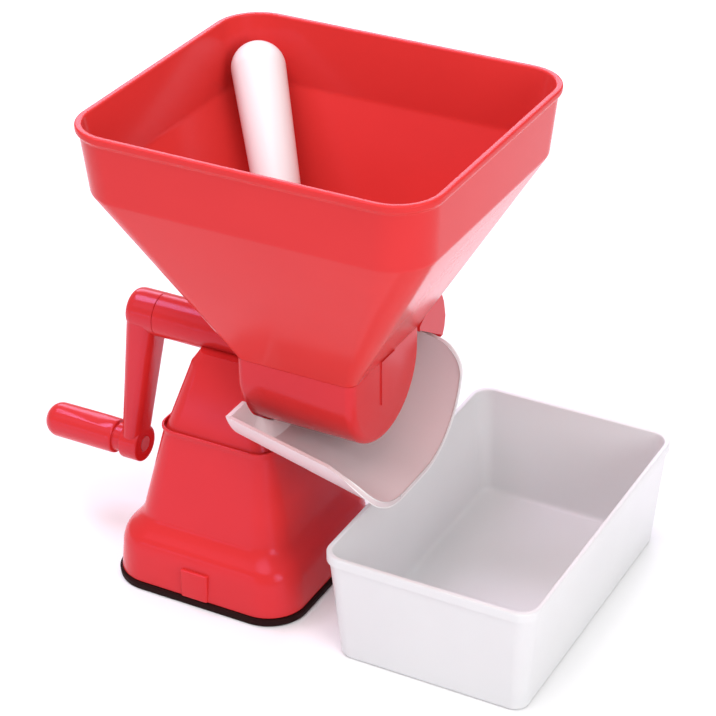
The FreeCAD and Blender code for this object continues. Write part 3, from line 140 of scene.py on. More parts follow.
def quads(rows, columns, ring):
    """Corner numbers of the quads of a grid that is closed around its columns.

    As a ring, the grid is also closed along its rows.
    """
    i = np.arange(rows if ring else rows - 1)[:, None]
    j = np.arange(columns)[None, :]
    ahead, beside = (i + 1) % rows, (j + 1) % columns
    corners = [i * columns + j, i * columns + beside, ahead * columns + beside, ahead * columns + j]
    return np.stack(np.broadcast_arrays(*corners), axis=-1).reshape(-1, 4)


def closed_shell(points, ring=False):
    """Points and faces of a closed surface: a grid with its ends joined as a ring, or each end capped."""
    rows, columns, _ = points.shape
    flat = points.reshape(-1, 3) * MM
    faces = quads(rows, columns, ring)
    a, b, c, d = (flat[faces[:, k]] for k in range(4))
    volume = np.einsum("ij,ij->", a, np.cross(b, c)) + np.einsum("ij,ij->", a, np.cross(c, d))
    faces = faces.tolist()
    if not ring:
        faces.append(list(range(columns))[::-1])
        faces.append(list(range((rows - 1) * columns, rows * columns)))
    if volume < 0:
        faces = [face[::-1] for face in faces]
    return flat, faces


def moulded_shell(rows, per_corner, steps=5, ring=False):
    """Closed shell through level rounded rectangles, rows of (z, x0, x1, y0, y1, r, easing)."""
    return closed_shell(rounded_rectangles(eased(rows, steps, ring), per_corner), ring)


# Pieces

def settle(obj, body, finish, nodes):
    """Link an object, give it its finish, hang it on the body it rides on and hide the nodes it stands for.
    """
    bpy.context.scene.collection.objects.link(obj)
    obj.data.materials.clear()
    obj.data.materials.append(finish)
    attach(obj, body)
    if nodes:
        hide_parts(*nodes)
    return obj


def shade_smooth(mesh, below):
    """Smooth shading, but for edges sharper than the given angle."""
    mesh.polygons.foreach_set("use_smooth", np.ones(len(mesh.polygons), bool))
    mesh.set_sharp_from_angle(angle=math.radians(below))


def piece(name, shells, body, finish, nodes=()):
    """One object from closed shells; it rides on a body and stands for the named nodes."""
    points, faces = [], []
    for flat, shell_faces in shells:
        start = sum(len(p) for p in points)
        points.append(flat)
        faces += [[k + start for k in face] for face in shell_faces]
    mesh = bpy.data.meshes.new(name)
    mesh.from_pydata(np.concatenate(points).tolist(), [], faces)
    shade_smooth(mesh, SMOOTH_BELOW)
    return settle(bpy.data.objects.new(name, mesh), body, finish, nodes)


def merged_copy(node):
    """Copy of a node's solid as an editable mesh: doubles merged, flat faces joined."""
    edit = bmesh.new()
    edit.from_mesh(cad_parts[node].data)
    bmesh.ops.remove_doubles(edit, verts=edit.verts, dist=MERGE_DISTANCE)
    bmesh.ops.dissolve_limit(edit, angle_limit=math.radians(FLAT_BELOW), verts=edit.verts, edges=edit.edges)
    return edit


def shaded_object(name, edit, below):
    """Object from an editable mesh, smooth but for edges sharper than the given angle."""
    mesh = bpy.data.meshes.new(name)
    edit.to_mesh(mesh)
    edit.free()
    if "custom_normal" in mesh.attributes:
        mesh.attributes.remove(mesh.attributes["custom_normal"])
    shade_smooth(mesh, below)
    return bpy.data.objects.new(name, mesh)


def ease_edges(obj, width):
    """Round every sharp edge of an object by a bevel of the given width."""
    bevel = obj.modifiers.new("eased_edges", "BEVEL")
    bevel.width = width * MM
    bevel.segments = EDGE_STEPS
    bevel.limit_method = "ANGLE"
    bevel.angle_limit = math.radians(ROUNDED_ABOVE)
    bevel.use_clamp_overlap = True
    bevel.harden_normals = True


def eased_copy(name, node, body, finish, width):
    """Copy of a node's solid with its sharp edges rounded."""
    obj = shaded_object(name, merged_copy(node), ROUNDED_ABOVE)
    ease_edges(obj, width)
    return settle(obj, body, finish, [node])


def read_values(rows, name, kind, width=1):
    """Array of one property of all rows of a mesh collection."""
    values = np.empty(len(rows) * width, kind)
    rows.foreach_get(name, values)
    return values.reshape(-1, width) if width > 1 else values


def swell_rim(mesh, bead, start, full):
    """Push the points that lie in rim faces alone out along their normals, to form a bead.

    The push grows from nothing at x = start to the whole bead at x = full.
    """
    corners = read_values(mesh.loops, "vertex_index", int)
    sides = read_values(mesh.polygons, "loop_total", int)
    rim = read_values(mesh.attributes["rim"].data, "value", np.float32)
    points = read_values(mesh.vertices, "co", np.float32, 3)
    normals = read_values(mesh.vertex_normals, "vector", np.float32, 3)
    inside = np.ones(len(points))
    np.minimum.at(inside, corners, np.repeat(rim, sides))
    share = inside * np.clip((points[:, 0] / MM - start) / (full - start), 0.0, 1.0)
    moved = points + normals * (bead * MM * share)[:, None]
    mesh.vertices.foreach_set("co", moved.astype(np.float32).ravel())
    mesh.update()


def rimmed_copy(name, node, body, finish, width, bead, start, full):
    """Copy of a node's solid with rounded sharp edges that swell into a bead.

    The rounded faces are marked 1 in the attribute rim, which a finish can paint lighter as a highlight.
    """
    edit = merged_copy(node)
    rim = edit.faces.layers.float.new("rim")
    limit = math.radians(ROUNDED_ABOVE)
    sharp = [e for e in edit.edges if len(e.link_faces) == 2 and e.calc_face_angle() > limit]
    rounded = bmesh.ops.bevel(edit, geom=sharp, offset=width * MM, offset_type="OFFSET",
                              segments=EDGE_STEPS, profile=0.5, affect="EDGES", clamp_overlap=True)
    for face in rounded["faces"]:
        face[rim] = 1.0
    obj = shaded_object(name, edit, RIM_SMOOTH_BELOW)
    swell_rim(obj.data, bead, start, full)
    weighted = obj.modifiers.new("flat_faces_stay_flat", "WEIGHTED_NORMAL")
    weighted.keep_sharp = True
    return settle(obj, body, finish, [node])


# Finishes

# Sockets of the colour Mix node
MIX_FACTOR, MIX_FIRST, MIX_SECOND, MIX_RESULT = 0, 6, 7, 2


class Wire:
    """A shader value that can be used in sums; each operator adds one Math node."""

    def __init__(self, finish, socket):
        self.finish = finish
        self.socket = socket

    def math(self, operation, other):
        """Math node of this value and another."""
        return self.finish.wire("Math", {"operation": operation}, {0: self, 1: other})

    def __add__(self, other):
        return self.math("ADD", other)

    def __mul__(self, other):
        return self.math("MULTIPLY", other)

    __radd__ = __add__
    __rmul__ = __mul__


class Finish:
    """One material with a Principled shader; constants go straight to its sockets."""

    def __init__(self, name, **constants):
        self.material = bpy.data.materials.new(name)
        self.material.use_nodes = True
        self.tree = self.material.node_tree
        self.shader = self.tree.nodes["Principled BSDF"]
        self.paint(**constants)

    def paint(self, **sockets):
        """Set or wire the shader's sockets and return the material."""
        for key, value in sockets.items():
            self.join(value, self.shader.inputs[key.replace("_", " ")])
        return self.material

    def join(self, value, socket):
        """Link a wire to a socket, or set the socket's value."""
        if isinstance(value, Wire):
            self.tree.links.new(value.socket, socket)
        else:
            socket.default_value = value

    def node(self, kind, settings=None, sockets=None):
        """Any shader node: its settings first, then the values or wires of its sockets."""
        made = self.tree.nodes.new("ShaderNode" + kind)
        for key, value in (settings or {}).items():
            if key == "stops":
                self.set_stops(made.color_ramp.elements, value)
            else:
                setattr(made, key, value)
        for key, value in (sockets or {}).items():
            self.join(value, made.inputs[key])
        return made

    def set_stops(self, elements, stops):
        """Two stops of a ramp as (position, grey)."""
        for element, (position, grey) in zip(elements, stops):
            element.position = position
            element.color = (grey, grey, grey, 1.0)

    def wire(self, kind, settings=None, sockets=None, out=0):
        """One output of a new node."""
        return Wire(self, self.node(kind, settings, sockets).outputs[out])

    def cloud(self, scale, detail, stretch=(1.0, 1.0, 1.0), turn=(0.0, 0.0, 0.0)):
        """Soft noise from 0 to 1 in Object coordinates, stretched and turned."""
        spot = self.wire("TexCoord", out="Object")
        place = self.wire("Mapping", {}, {"Vector": spot, "Scale": stretch, "Rotation": turn})
        return self.wire("TexNoise", {}, {"Vector": place, "Scale": scale, "Detail": detail})

    def ramp(self, value, low, high):
        """0 below low, 1 above high."""
        return self.wire("ValToRGB", {"stops": [(low, 0.0), (high, 1.0)]}, {"Fac": value})

    def mixed(self, factor, first, second):
        """Colour between two colours, each given as three numbers or as a wire."""
        ends = [colour if isinstance(colour, Wire) else (*colour, 1.0) for colour in (first, second)]
        sockets = {MIX_FACTOR: factor, MIX_FIRST: ends[0], MIX_SECOND: ends[1]}
        return self.wire("Mix", {"data_type": "RGBA"}, sockets, MIX_RESULT)

    def mark(self, name):
        """The piece's own attribute of that name."""
        return self.wire("Attribute", {"attribute_name": name}, out="Fac")

    def bumps(self, height, distance, strength):
        """Normal bent by a height map, with its distance in metres."""
        return self.wire("Bump", {}, {"Height": height, "Distance": distance, "Strength": strength})


def red_plastic(name, colour, deep, gloss, index):
    """Glossy red moulding: slow colour drift, faint flow marks, orange peel and handling scuffs."""
    finish = Finish(name, IOR=index, Specular_Tint=(0.75, 0.55, 1.0, 1.0))
    drift = finish.ramp(finish.cloud(scale=14.0, detail=2.0), low=0.3, high=0.75)
    flow = finish.cloud(scale=9.0, detail=4.0, stretch=(1.0, 1.0, 6.0), turn=(0.3, 0.1, 0.0))
    scratches = finish.cloud(scale=60.0, detail=6.0, stretch=(1.0, 9.0, 4.0), turn=(0.4, 0.2, 0.7))
    scuffs = finish.ramp(scratches, low=0.62, high=0.78)
    grain = finish.cloud(scale=700.0, detail=2.0)
    peel = finish.cloud(scale=160.0, detail=2.0)
    return finish.paint(
        Base_Color=finish.mixed(0.55 * drift + 0.25 * flow, colour, deep),
        Roughness=gloss + 0.05 * flow + 0.08 * scuffs + 0.03 * grain,
        Normal=finish.bumps(grain + 0.6 * peel, distance=0.12 * MM, strength=0.09))


def white_plastic(name, colour, deep, gloss, glow, rim=None):
    """Milky moulding: light scattered inside, cloudy drift, drawn flow lines and a fine matt grain. A rim
    colour, where given, is a painted highlight on the faces marked rim.
    """
    finish = Finish(name, IOR=1.45, Subsurface_Weight=glow, Subsurface_Scale=6 * MM,
                    Subsurface_Radius=(1.0, 0.85, 0.80))
    drift = finish.ramp(finish.cloud(scale=11.0, detail=3.0), low=0.3, high=0.75)
    flow = finish.cloud(scale=20.0, detail=4.0, stretch=(1.0, 1.0, 0.12), turn=(0.05, 0.08, 0.0))
    grain = finish.cloud(scale=650.0, detail=2.0)
    ripple = finish.cloud(scale=140.0, detail=2.0)
    shade = finish.mixed(0.6 * drift + 0.4 * flow, colour, deep)
    # Painted highlight: the faces marked rim take the lighter rim colour
    if rim:
        shade = finish.mixed(finish.mark("rim"), shade, rim)
    return finish.paint(
        Base_Color=shade,
        Roughness=gloss + 0.06 * drift + 0.04 * flow + 0.04 * grain,
        Normal=finish.bumps(grain + 0.5 * ripple, distance=0.1 * MM, strength=0.08))


def rubbery(name, colour, dust):
    """Rubber: matt, with pale dust in patches and a fine bloom."""
    finish = Finish(name, IOR=1.18, Specular_Tint=(1.0, 0.55, 0.55, 1.0))
    patches = finish.ramp(finish.cloud(scale=38.0, detail=5.0), low=0.5, high=0.85)
    grain = finish.cloud(scale=1100.0, detail=3.0)
    return finish.paint(
        Base_Color=finish.mixed(0.4 * patches + 0.15 * grain, colour, dust),
        Roughness=0.55 + 0.2 * patches + 0.1 * grain,
        Normal=finish.bumps(grain, distance=0.2 * MM, strength=0.35))


def turned_steel(name, colour, dark, stretch, gloss):
    """Steel with fine tool marks that run across the stretched direction."""
    finish = Finish(name, Metallic=1.0)
    marks = finish.cloud(scale=420.0, detail=3.0, stretch=stretch)
    stain = finish.cloud(scale=45.0, detail=4.0)
    return finish.paint(
        Base_Color=finish.mixed(0.5 * stain + 0.3 * marks, colour, dark),
        Roughness=gloss + 0.14 * marks + 0.06 * stain,
        Normal=finish.bumps(marks, distance=0.06 * MM, strength=0.25))


hopper_finish = red_plastic("hopper_red_plastic", (0.690, 0.042, 0.039), (0.640, 0.036, 0.034),
                            gloss=0.14, index=1.22)
body_finish = red_plastic("body_red_plastic", (0.660, 0.032, 0.030), (0.600, 0.026, 0.025),
                          gloss=0.15, index=1.34)
crank_finish = red_plastic("crank_red_plastic", (0.650, 0.032, 0.030), (0.580, 0.026, 0.025),
                           gloss=0.15, index=1.40)
# Chute: pinkish grey, partly the plastic's own tint and partly painted red bounce from the barrel; the rim
# colour is a painted highlight on the rounded lip
chute_finish = white_plastic("chute_white_plastic", (0.770, 0.660, 0.675), (0.710, 0.600, 0.620),
                             gloss=0.26, glow=0.08, rim=(0.900, 0.870, 0.870))
tray_finish = white_plastic("tray_white_plastic", (0.745, 0.745, 0.752), (0.710, 0.708, 0.720),
                            gloss=0.24, glow=0.08)
pusher_finish = white_plastic("pusher_white_plastic", (0.850, 0.850, 0.852), (0.815, 0.815, 0.818),
                              gloss=0.30, glow=0.12)
nylon_finish = white_plastic("rotor_nylon", (0.780, 0.765, 0.720), (0.700, 0.680, 0.620),
                             gloss=0.38, glow=0.10)
bearing_finish = white_plastic("bearing_acetal", (0.760, 0.750, 0.710), (0.690, 0.675, 0.630),
                               gloss=0.34, glow=0.05)
rubber_finish = rubbery("pad_rubber", (0.016, 0.004, 0.004), (0.024, 0.011, 0.010))
steel_finish = turned_steel("turned_steel", (0.640, 0.640, 0.650), (0.460, 0.455, 0.450),
                            stretch=(1.0, 0.05, 0.05), gloss=0.22)
sieve_finish = turned_steel("sieve_steel", (0.660, 0.660, 0.670), (0.500, 0.500, 0.500),
                            stretch=(0.04, 1.0, 1.0), gloss=0.26)

# From here on, sizes are in millimetres in the frame of the solids

# Hopper: ring of rounded rectangles, up the outside, over the rim bead and down the inside
HOPPER = [
    # z, x0, x1, half of y, corner, easing of the corner in the profile
    (169.5, 24.8, 98.2, 41.2, 4.0, 0.5),
    (174.5, 24.8, 98.2, 41.2, 4.0, 0.2),
    (174.5, 22.0, 101.0, 44.0, 6.5, 0.4),
    (288.0, -48.9, 167.4, 96.9, 26.9, 1.6),
    (323.8, -51.88, 170.38, 99.88, 26.9, 0.8),
    (326.2, -54.0, 172.5, 102.0, 28.5, 0.9),
    (330.0, -54.0, 172.5, 102.0, 28.5, 1.3),
    (330.0, -49.9, 168.4, 97.9, 24.4, 1.1),
    (288.0, -46.4, 164.9, 94.4, 24.4, 2.0),
    (174.5, 26.6, 96.4, 39.4, 1.9, 0.5),
    (169.5, 26.6, 96.4, 39.4, 1.9, 0.5),
]
hopper_rows = [(z, x0, x1, -y, y, corner, easing) for z, x0, x1, y, corner, easing in HOPPER]
hopper_shell = moulded_shell(hopper_rows, per_corner=16, ring=True)
piece("hopper_shell", [hopper_shell], "hopper", hopper_finish, ["hopper"])

# Tray: open box with drafted walls and a rim band, closed under its floor
TRAY_EDGES = (94.4, 232.4, -74.7, 145.9)
TRAY_CORNER, TRAY_LEAST_CORNER = 12.5, 1.0
TRAY = [
    # z, inset, easing of the corner in the profile
    (0.0, 60.0, 0.1),
    (0.0, 7.4, 2.6),
    (69.5, 1.46, 0.4),
    (69.5, 0.0, 0.4),
    (76.0, 0.0, 1.2),
    (76.0, 3.1, 1.0),
    (2.2, 9.6, 4.0),
    (2.2, 60.0, 0.1),
]
tray_rows = inset_rows(TRAY_EDGES, TRAY_CORNER, TRAY_LEAST_CORNER, TRAY)
tray_shell = moulded_shell(tray_rows, per_corner=12, steps=6)
piece("tray_shell", [tray_shell], "tray", tray_finish, ["tray"])

# Suction pad: flat sole, rounded edge, upstand inside the skirt, seat of the stem
PAD = [
    # z, half width, corner, easing of the corner in the profile
    (0.0, 20.0, 8.0, 0.1),
    (0.0, 65.5, 26.0, 1.4),
    (5.4, 66.0, 26.0, 1.2),
    (5.4, 60.4, 21.5, 0.4),
    (9.0, 60.4, 21.5, 0.6),
    (9.0, 22.0, 8.0, 0.6),
    (7.0, 20.0, 8.0, 0.4),
    (7.0, 4.0, 2.0, 0.1),
]
pad_shell = moulded_shell(squares(PAD), per_corner=14)
piece("suction_pad_rubber", [pad_shell], "base", rubber_finish, ["suction_pad"])

# Foot: skirt, rounded shoulder, pyramid, seam lip, deck and the inside wall, with a boss at each axle end
FOOT = [
    # z, half width, corner, easing of the corner in the profile
    (5.5, 64.5, 25.0, 0.8),
    (28.0, 62.8, 24.0, 4.0),
    (34.5, 60.4, 23.0, 2.6),
    (39.5, 55.8, 21.5, 2.6),
    (45.0, 52.1, 20.5, 2.6),
    (102.0, 39.0, 12.0, 0.4),
    (104.4, 39.0, 12.0, 0.3),
    (104.4, 39.8, 12.3, 0.3),
    (106.5, 39.8, 12.3, 0.6),
    (106.5, 38.5, 11.5, 0.5),
    (102.0, 38.5, 11.5, 0.3),
    (102.0, 15.0, 6.0, 0.3),
    (98.0, 15.0, 6.0, 0.3),
    (98.0, 36.5, 9.0, 1.0),
    (45.0, 49.1, 17.5, 3.0),
    (39.5, 52.8, 18.5, 3.0),
    (34.5, 57.4, 20.0, 3.0),
    (28.0, 59.8, 21.0, 3.0),
    (5.5, 61.5, 22.0, 0.6),
]
AXLE_BOSS_HALF, AXLE_BOSS_ROOT, AXLE_BOSS_FACE = 9.5, 61.0, 65.7
AXLE_BOSS_CORNER, AXLE_BOSS_LEAST_CORNER = 1.4, 0.3
AXLE_BOSS = [
    # z, inset, easing of the corner in the profile
    (5.6, 2.0, 0.9),
    (5.6, 0.0, 0.9),
    (25.0, 0.0, 0.9),
    (25.0, 2.0, 0.9),
]


def axle_boss(near, far):
    """Square boss on the skirt between two y: rounded rectangles from its lower to its upper face."""
    edges = (-AXLE_BOSS_HALF, AXLE_BOSS_HALF, near, far)
    rows = inset_rows(edges, AXLE_BOSS_CORNER, AXLE_BOSS_LEAST_CORNER, AXLE_BOSS)
    return moulded_shell(rows, per_corner=6)


foot_shells = [
    moulded_shell(squares(FOOT), per_corner=14, ring=True),
    axle_boss(-AXLE_BOSS_FACE, -AXLE_BOSS_ROOT),
    axle_boss(AXLE_BOSS_ROOT, AXLE_BOSS_FACE),
]
piece("foot_shell", foot_shells, "base", body_finish, ["base_foot"])
eased_copy("body_casting", "upper_body", "base", body_finish, width=0.7)

# Chute: trough whose rounded rim swells into a bead along the lip and carries a painted highlight
rimmed_copy("chute_trough", "chute", "chute", chute_finish,
            width=1.1, bead=0.85, start=103.0, full=110.0)

# Wall round the column in the trough's upper end: it follows the column from the trough up to the barrel
AXIS_Z = 162.0
BARREL_CLEAR = 44.9
CHUTE_LIP, CHUTE_LEFT, CHUTE_FLOOR, CHUTE_CORNER, CHUTE_FLAT = 119.0, 25.5, 89.0, 52.0, 14.0
CHUTE_SLOPE = math.radians(14.0)
CHUTE_HALF_WALL = 1.3
COLUMN_FOOT, COLUMN_SHOULDER = 102.0, 148.0
COLUMN_HALF, COLUMN_NARROWING = 38.2, 13.8
COLUMN_CORNER, COLUMN_CORNER_NARROWING = 11.5, 2.5
WALL_NEAR, WALL_FAR, WALL_LEFT_GAP, WALL_EASING, WALL_FIRST_HEIGHT = 0.7, 2.6, 0.2, 0.4, 120.0
# Sweep to each side in degrees, from just beside the middle
BESIDE_MIDDLE, WALL_SWEEP, WALL_STEPS = 0.001, 75.0, 14


def column_outline(angle, height, grow):
    """Right half of the column's rounded square at a height, grown outwards.

    A point is corner centre + radius (cos a, sin a), but never left of the trough's end.
    """
    share = (height - COLUMN_FOOT) / (COLUMN_SHOULDER - COLUMN_FOOT)
    half = COLUMN_HALF - COLUMN_NARROWING * share + grow
    corner = COLUMN_CORNER - COLUMN_CORNER_NARROWING * share + grow
    side = np.where(angle < 0, -1.0, 1.0)
    x = np.maximum(half - corner + corner * np.cos(angle), CHUTE_LEFT + WALL_LEFT_GAP)
    return x, side * (half - corner) + corner * np.sin(angle)


def trough_floor(x, y):
    """Height of the middle of the trough's wall, square to its slope.

    It is the sloping floor + half the wall, and r - sqrt(r^2 - over^2) more where y is over the flat.
    """
    over = np.maximum(np.abs(y) - CHUTE_FLAT, 0.0)
    rise = CHUTE_CORNER - np.sqrt(CHUTE_CORNER ** 2 - over ** 2)
    slope = (CHUTE_LIP - x) * math.tan(CHUTE_SLOPE)
    return CHUTE_FLOOR + slope + (CHUTE_HALF_WALL + rise) / math.cos(CHUTE_SLOPE)


def under_barrel(x, y):
    """Height of the barrel's lower side with its clearance: axis - sqrt(r^2 - y^2), the same at any x."""
    return AXIS_Z - np.sqrt(BARREL_CLEAR ** 2 - y ** 2)


def wall_line(angle, grow, height_at):
    """Points on the grown column outline at the height that a surface has there, found in three steps."""
    height = np.full_like(angle, WALL_FIRST_HEIGHT)
    for _ in range(3):
        x, y = column_outline(angle, height, grow)
        height = height_at(x, y)
    return np.stack([x, y, height], axis=-1)


half_sweep = np.linspace(BESIDE_MIDDLE, WALL_SWEEP, WALL_STEPS)
wall_angle = np.radians(np.concatenate([-half_sweep[::-1], half_sweep]))
wall_edges = [
    (WALL_NEAR, trough_floor),
    (WALL_NEAR, under_barrel),
    (WALL_FAR, under_barrel),
    (WALL_FAR, trough_floor),
]
wall_grid = np.stack([wall_line(wall_angle, grow, height_at) for grow, height_at in wall_edges], axis=1)
notch_wall = piece("chute_notch_wall", [closed_shell(wall_grid)], "chute", chute_finish)
ease_edges(notch_wall, WALL_EASING)

# Crank: hub, tapering arm and knob boss, built hanging from the axis, then leaned
CRANK_LEAN = math.radians(4.7)
CRANK_LENGTH = 94.5
CRANK_CENTRE = np.array([0.0, 0.0, AXIS_Z])
LEAN = np.array(Matrix.Rotation(-CRANK_LEAN, 3, "X"))
HUB_LEFT, HUB_RIGHT, HUB_RADIUS, SHAFT_BORE = -76.4, -55.4, 14.0, 5.1
BOSS_LEFT, BOSS_RIGHT, BOSS_RADIUS, BOSS_RECESS = -82.0, -68.5, 12.0, 2.5
PIN_BORE, PIN_HEAD_BORE = 3.1, 5.1
AXIS_POINT = (0.0, 0.0, 0.0)
KNOB_AXIS_POINT = (0.0, 0.0, -CRANK_LENGTH)
POINT_RADIUS = 0.2


def leaned(points):
    """Turn points about the crank axis by the rest lean and lift them to its height."""
    return points @ LEAN.T + CRANK_CENTRE


HUB = [
    # x, radius, easing of the corner in the profile
    (HUB_LEFT, POINT_RADIUS, 0.1),
    (HUB_LEFT, HUB_RADIUS, 7.0),
    (HUB_RIGHT, HUB_RADIUS, 0.5),
    (HUB_RIGHT, SHAFT_BORE, 0.1),
]
ARM = [
    # z, x0, x1, y0, y1, corner
    (5.6 - CRANK_LENGTH, BOSS_LEFT + 0.4, BOSS_RIGHT - 0.4, -10.4, 10.4, 5.6),
    (2.0, HUB_LEFT + 0.1, HUB_RIGHT - 0.1, -13.4, 13.4, 7.0),
]
KNOB_BOSS = [
    # x, radius, easing of the corner in the profile
    (BOSS_LEFT, PIN_BORE, 0.1),
    (BOSS_LEFT, BOSS_RADIUS, 1.3),
    (BOSS_RIGHT, BOSS_RADIUS, 1.3),
    (BOSS_RIGHT, PIN_HEAD_BORE, 0.4),
    (BOSS_RIGHT - BOSS_RECESS, PIN_HEAD_BORE, 0.1),
    (BOSS_RIGHT - BOSS_RECESS, PIN_BORE, 0.1),
]
crank_shells = [
    closed_shell(leaned(turned(eased(HUB, steps=9), AXIS_POINT, ALONG_X))),
    closed_shell(leaned(rounded_rectangles(ARM, per_corner=10))),
    closed_shell(leaned(turned(eased(KNOB_BOSS, steps=6), KNOB_AXIS_POINT, ALONG_X)), ring=True),
]
piece("crank", crank_shells, "crank", crank_finish, ["crank_arm"])

# Knob: domed grip with a collar towards the crank
KNOB_LEFT, KNOB_RIGHT, COLLAR_RIGHT = -141.4, -88.4, -82.4
KNOB_RADIUS, COLLAR_RADIUS, KNOB_DOME, KNOB_STRAIGHT, KNOB_TIP = 11.4, 9.2, 9.5, 12.0, 0.1
KNOB_NOSE = [(KNOB_LEFT, KNOB_TIP), (KNOB_LEFT, KNOB_RADIUS - KNOB_DOME)]
KNOB_TAIL = [
    # x, radius, easing of the corner in the profile
    (KNOB_RIGHT - KNOB_STRAIGHT, KNOB_RADIUS, 0.1),
    (KNOB_RIGHT, KNOB_RADIUS, 2.2),
    (KNOB_RIGHT, COLLAR_RADIUS, 0.6),
    (COLLAR_RIGHT, COLLAR_RADIUS, 0.8),
    (COLLAR_RIGHT, PIN_BORE, 0.1),
]
# Quarter circle from just past the nose's edge to the full radius
dome_angle = np.radians(np.linspace(2, 90, 14))
knob_dome = np.stack([KNOB_LEFT + KNOB_DOME * (1 - np.cos(dome_angle)),
                      KNOB_RADIUS - KNOB_DOME + KNOB_DOME * np.sin(dome_angle)], axis=1)
knob_profile = np.concatenate([KNOB_NOSE, knob_dome, eased(KNOB_TAIL, steps=7)])
knob_shell = closed_shell(leaned(turned(knob_profile, KNOB_AXIS_POINT, ALONG_X)))
piece("knob", [knob_shell], "knob", crank_finish, ["crank_knob"])

# Pusher: tapered plunger with a domed top; the dome's place is read from the node's box
PUSHER_FOOT = np.array([34.0, 4.0, 210.6])
PUSHER_TOP_RADIUS, PUSHER_FOOT_RADIUS = 16.8, 12.6
pusher_low, pusher_high = (np.array(corner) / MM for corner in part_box("pusher"))
pusher_top = np.array([pusher_low[0], pusher_high[1], pusher_high[2]])
pusher_axis = pusher_top + PUSHER_TOP_RADIUS * np.array([1.0, -1.0, -1.0]) - PUSHER_FOOT
pusher_length = float(np.linalg.norm(pusher_axis))
PUSHER_TAPER = [
    # distance along, radius, easing of the corner in the profile
    (0.0, POINT_RADIUS, 0.1),
    (0.0, PUSHER_FOOT_RADIUS, 1.8),
    (pusher_length / 2, (PUSHER_FOOT_RADIUS + PUSHER_TOP_RADIUS) / 2, 0.1),
]
# Half sphere from the full radius to just short of its pole
top_angle = np.radians(np.linspace(0, 89, 18))
pusher_dome = np.stack([pusher_length + PUSHER_TOP_RADIUS * np.sin(top_angle),
                        PUSHER_TOP_RADIUS * np.cos(top_angle)], axis=1)
pusher_profile = np.concatenate([eased(PUSHER_TAPER, steps=7), pusher_dome])
pusher_shell = closed_shell(turned(pusher_profile, PUSHER_FOOT, pusher_axis, around=72))
piece("pusher_plunger", [pusher_shell], "pusher", pusher_finish, ["pusher"])

eased_copy("lever_blade", "suction_lever", "lever", body_finish, width=0.9)
eased_copy("press_screw", "press_rotor", "crank", nylon_finish, width=0.8)

# Solids that stay as they are: steel, unless named here
NODE_FINISHES = {
    "sieve": sieve_finish,
    "shaft_seal": rubber_finish,
    "outer_bush": bearing_finish,
    "inner_bush": bearing_finish,
    "end_bush": bearing_finish,
    "lift_cam": bearing_finish,
}
for node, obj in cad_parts.items():
    if not obj.hide_render:
        obj.data.materials.clear()
        obj.data.materials.append(NODE_FINISHES.get(node, steel_finish))

# Floor, in metres like the light and the camera
FLOOR_HALF = 6.0
FLOOR_CORNERS = [(-1, -1), (1, -1), (1, 1), (-1, 1)]
floor_mesh = bpy.data.meshes.new("floor")
floor_mesh.from_pydata([(FLOOR_HALF * x, FLOOR_HALF * y, 0.0) for x, y in FLOOR_CORNERS], [], [(0, 1, 2, 3)])
floor = bpy.data.objects.new("floor", floor_mesh)
bpy.context.scene.collection.objects.link(floor)
floor_finish = Finish("floor_white", Roughness=0.75)
floor_shade = floor_finish.cloud(scale=1.2, detail=2.0)
floor_colour = floor_finish.mixed(floor_shade, (0.95, 0.945, 0.95), (0.93, 0.925, 0.93))
floor_mesh.materials.append(floor_finish.paint(Base_Color=floor_colour))

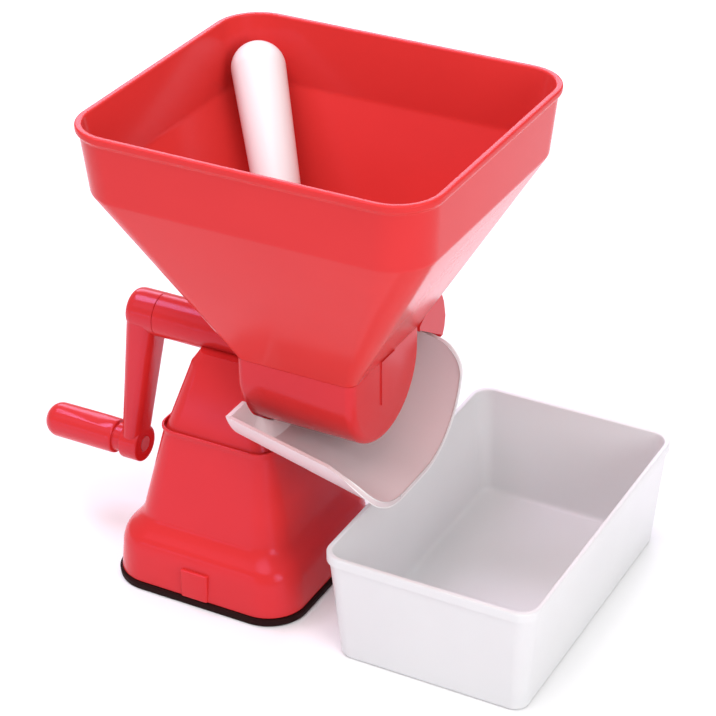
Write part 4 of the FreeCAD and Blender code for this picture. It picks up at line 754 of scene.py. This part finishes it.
# Soft studio light
SKY_STRENGTH = 0.47
MIDDLE = Vector((0.05, 0.0, 0.15))
LILAC = (0.90, 0.80, 1.0)
SOFTBOXES = [
    # name, place, span, watts, tint
    ("key_left", (-0.85, -1.25, 1.5), (1.0, 0.8), 1.6, WHITE),
    ("key_camera_side", (0.3, -1.2, 2.0), (1.2, 1.0), 9.5, WHITE),
    ("key_above", (0.25, -0.4, 2.3), (1.2, 1.0), 14.0, WHITE),
    ("fill_right", (1.7, -0.8, 0.85), (1.0, 1.0), 14.5, WHITE),
    ("top_left", (-0.95, -0.05, 2.1), (0.9, 0.9), 21.0, LILAC),
    ("rim_back", (-0.7, 1.5, 1.1), (1.8, 0.6), 16.0, LILAC),
    ("low_strip", (-0.72, -1.5, 0.24), (1.0, 0.12), 1.0, LILAC),
]


def softbox(name, place, span, watts, tint):
    """Rectangular area light that faces the middle of the object."""
    light = bpy.data.lights.new(name, "AREA")
    light.shape = "RECTANGLE"
    light.size, light.size_y = span
    light.energy = watts
    light.color = tint
    lamp = bpy.data.objects.new(name, light)
    lamp.location = place
    lamp.rotation_mode = "QUATERNION"
    lamp.rotation_quaternion = (MIDDLE - Vector(place)).to_track_quat("-Z", "Y")
    bpy.context.scene.collection.objects.link(lamp)


world = bpy.data.worlds.new("studio")
bpy.context.scene.world = world
world.use_nodes = True
sky = world.node_tree.nodes["Background"]
sky.inputs["Color"].default_value = (*WHITE, 1.0)
sky.inputs["Strength"].default_value = SKY_STRENGTH
for row in SOFTBOXES:
    softbox(*row)

# Camera at the photograph's place: yaw about Z, pitch below the level, a slight roll
CAMERA_PLACE = (0.6594, -1.0895, 0.8902)
CAMERA_YAW, CAMERA_PITCH, CAMERA_ROLL = (math.radians(a) for a in (27.95, 30.36, -0.2))
CAMERA_LENS, CAMERA_SENSOR = 120.8, 36.0
camera_data = bpy.data.cameras.new("camera")
camera_data.sensor_width = CAMERA_SENSOR
camera_data.lens = CAMERA_LENS
camera = bpy.data.objects.new("camera", camera_data)
bpy.context.scene.collection.objects.link(camera)
level_ahead = Vector((-math.sin(CAMERA_YAW), math.cos(CAMERA_YAW), 0.0))
forward = level_ahead * math.cos(CAMERA_PITCH) - Vector((0.0, 0.0, math.sin(CAMERA_PITCH)))
level_right = Vector((math.cos(CAMERA_YAW), math.sin(CAMERA_YAW), 0.0))
level_up = level_right.cross(forward)
right = level_right * math.cos(CAMERA_ROLL) + level_up * math.sin(CAMERA_ROLL)
up = level_up * math.cos(CAMERA_ROLL) - level_right * math.sin(CAMERA_ROLL)
camera.matrix_world = Matrix.Translation(CAMERA_PLACE) @ Matrix((right, up, -forward)).transposed().to_4x4()
bpy.context.scene.camera = camera
bpy.context.scene.view_settings.view_transform = "Standard"
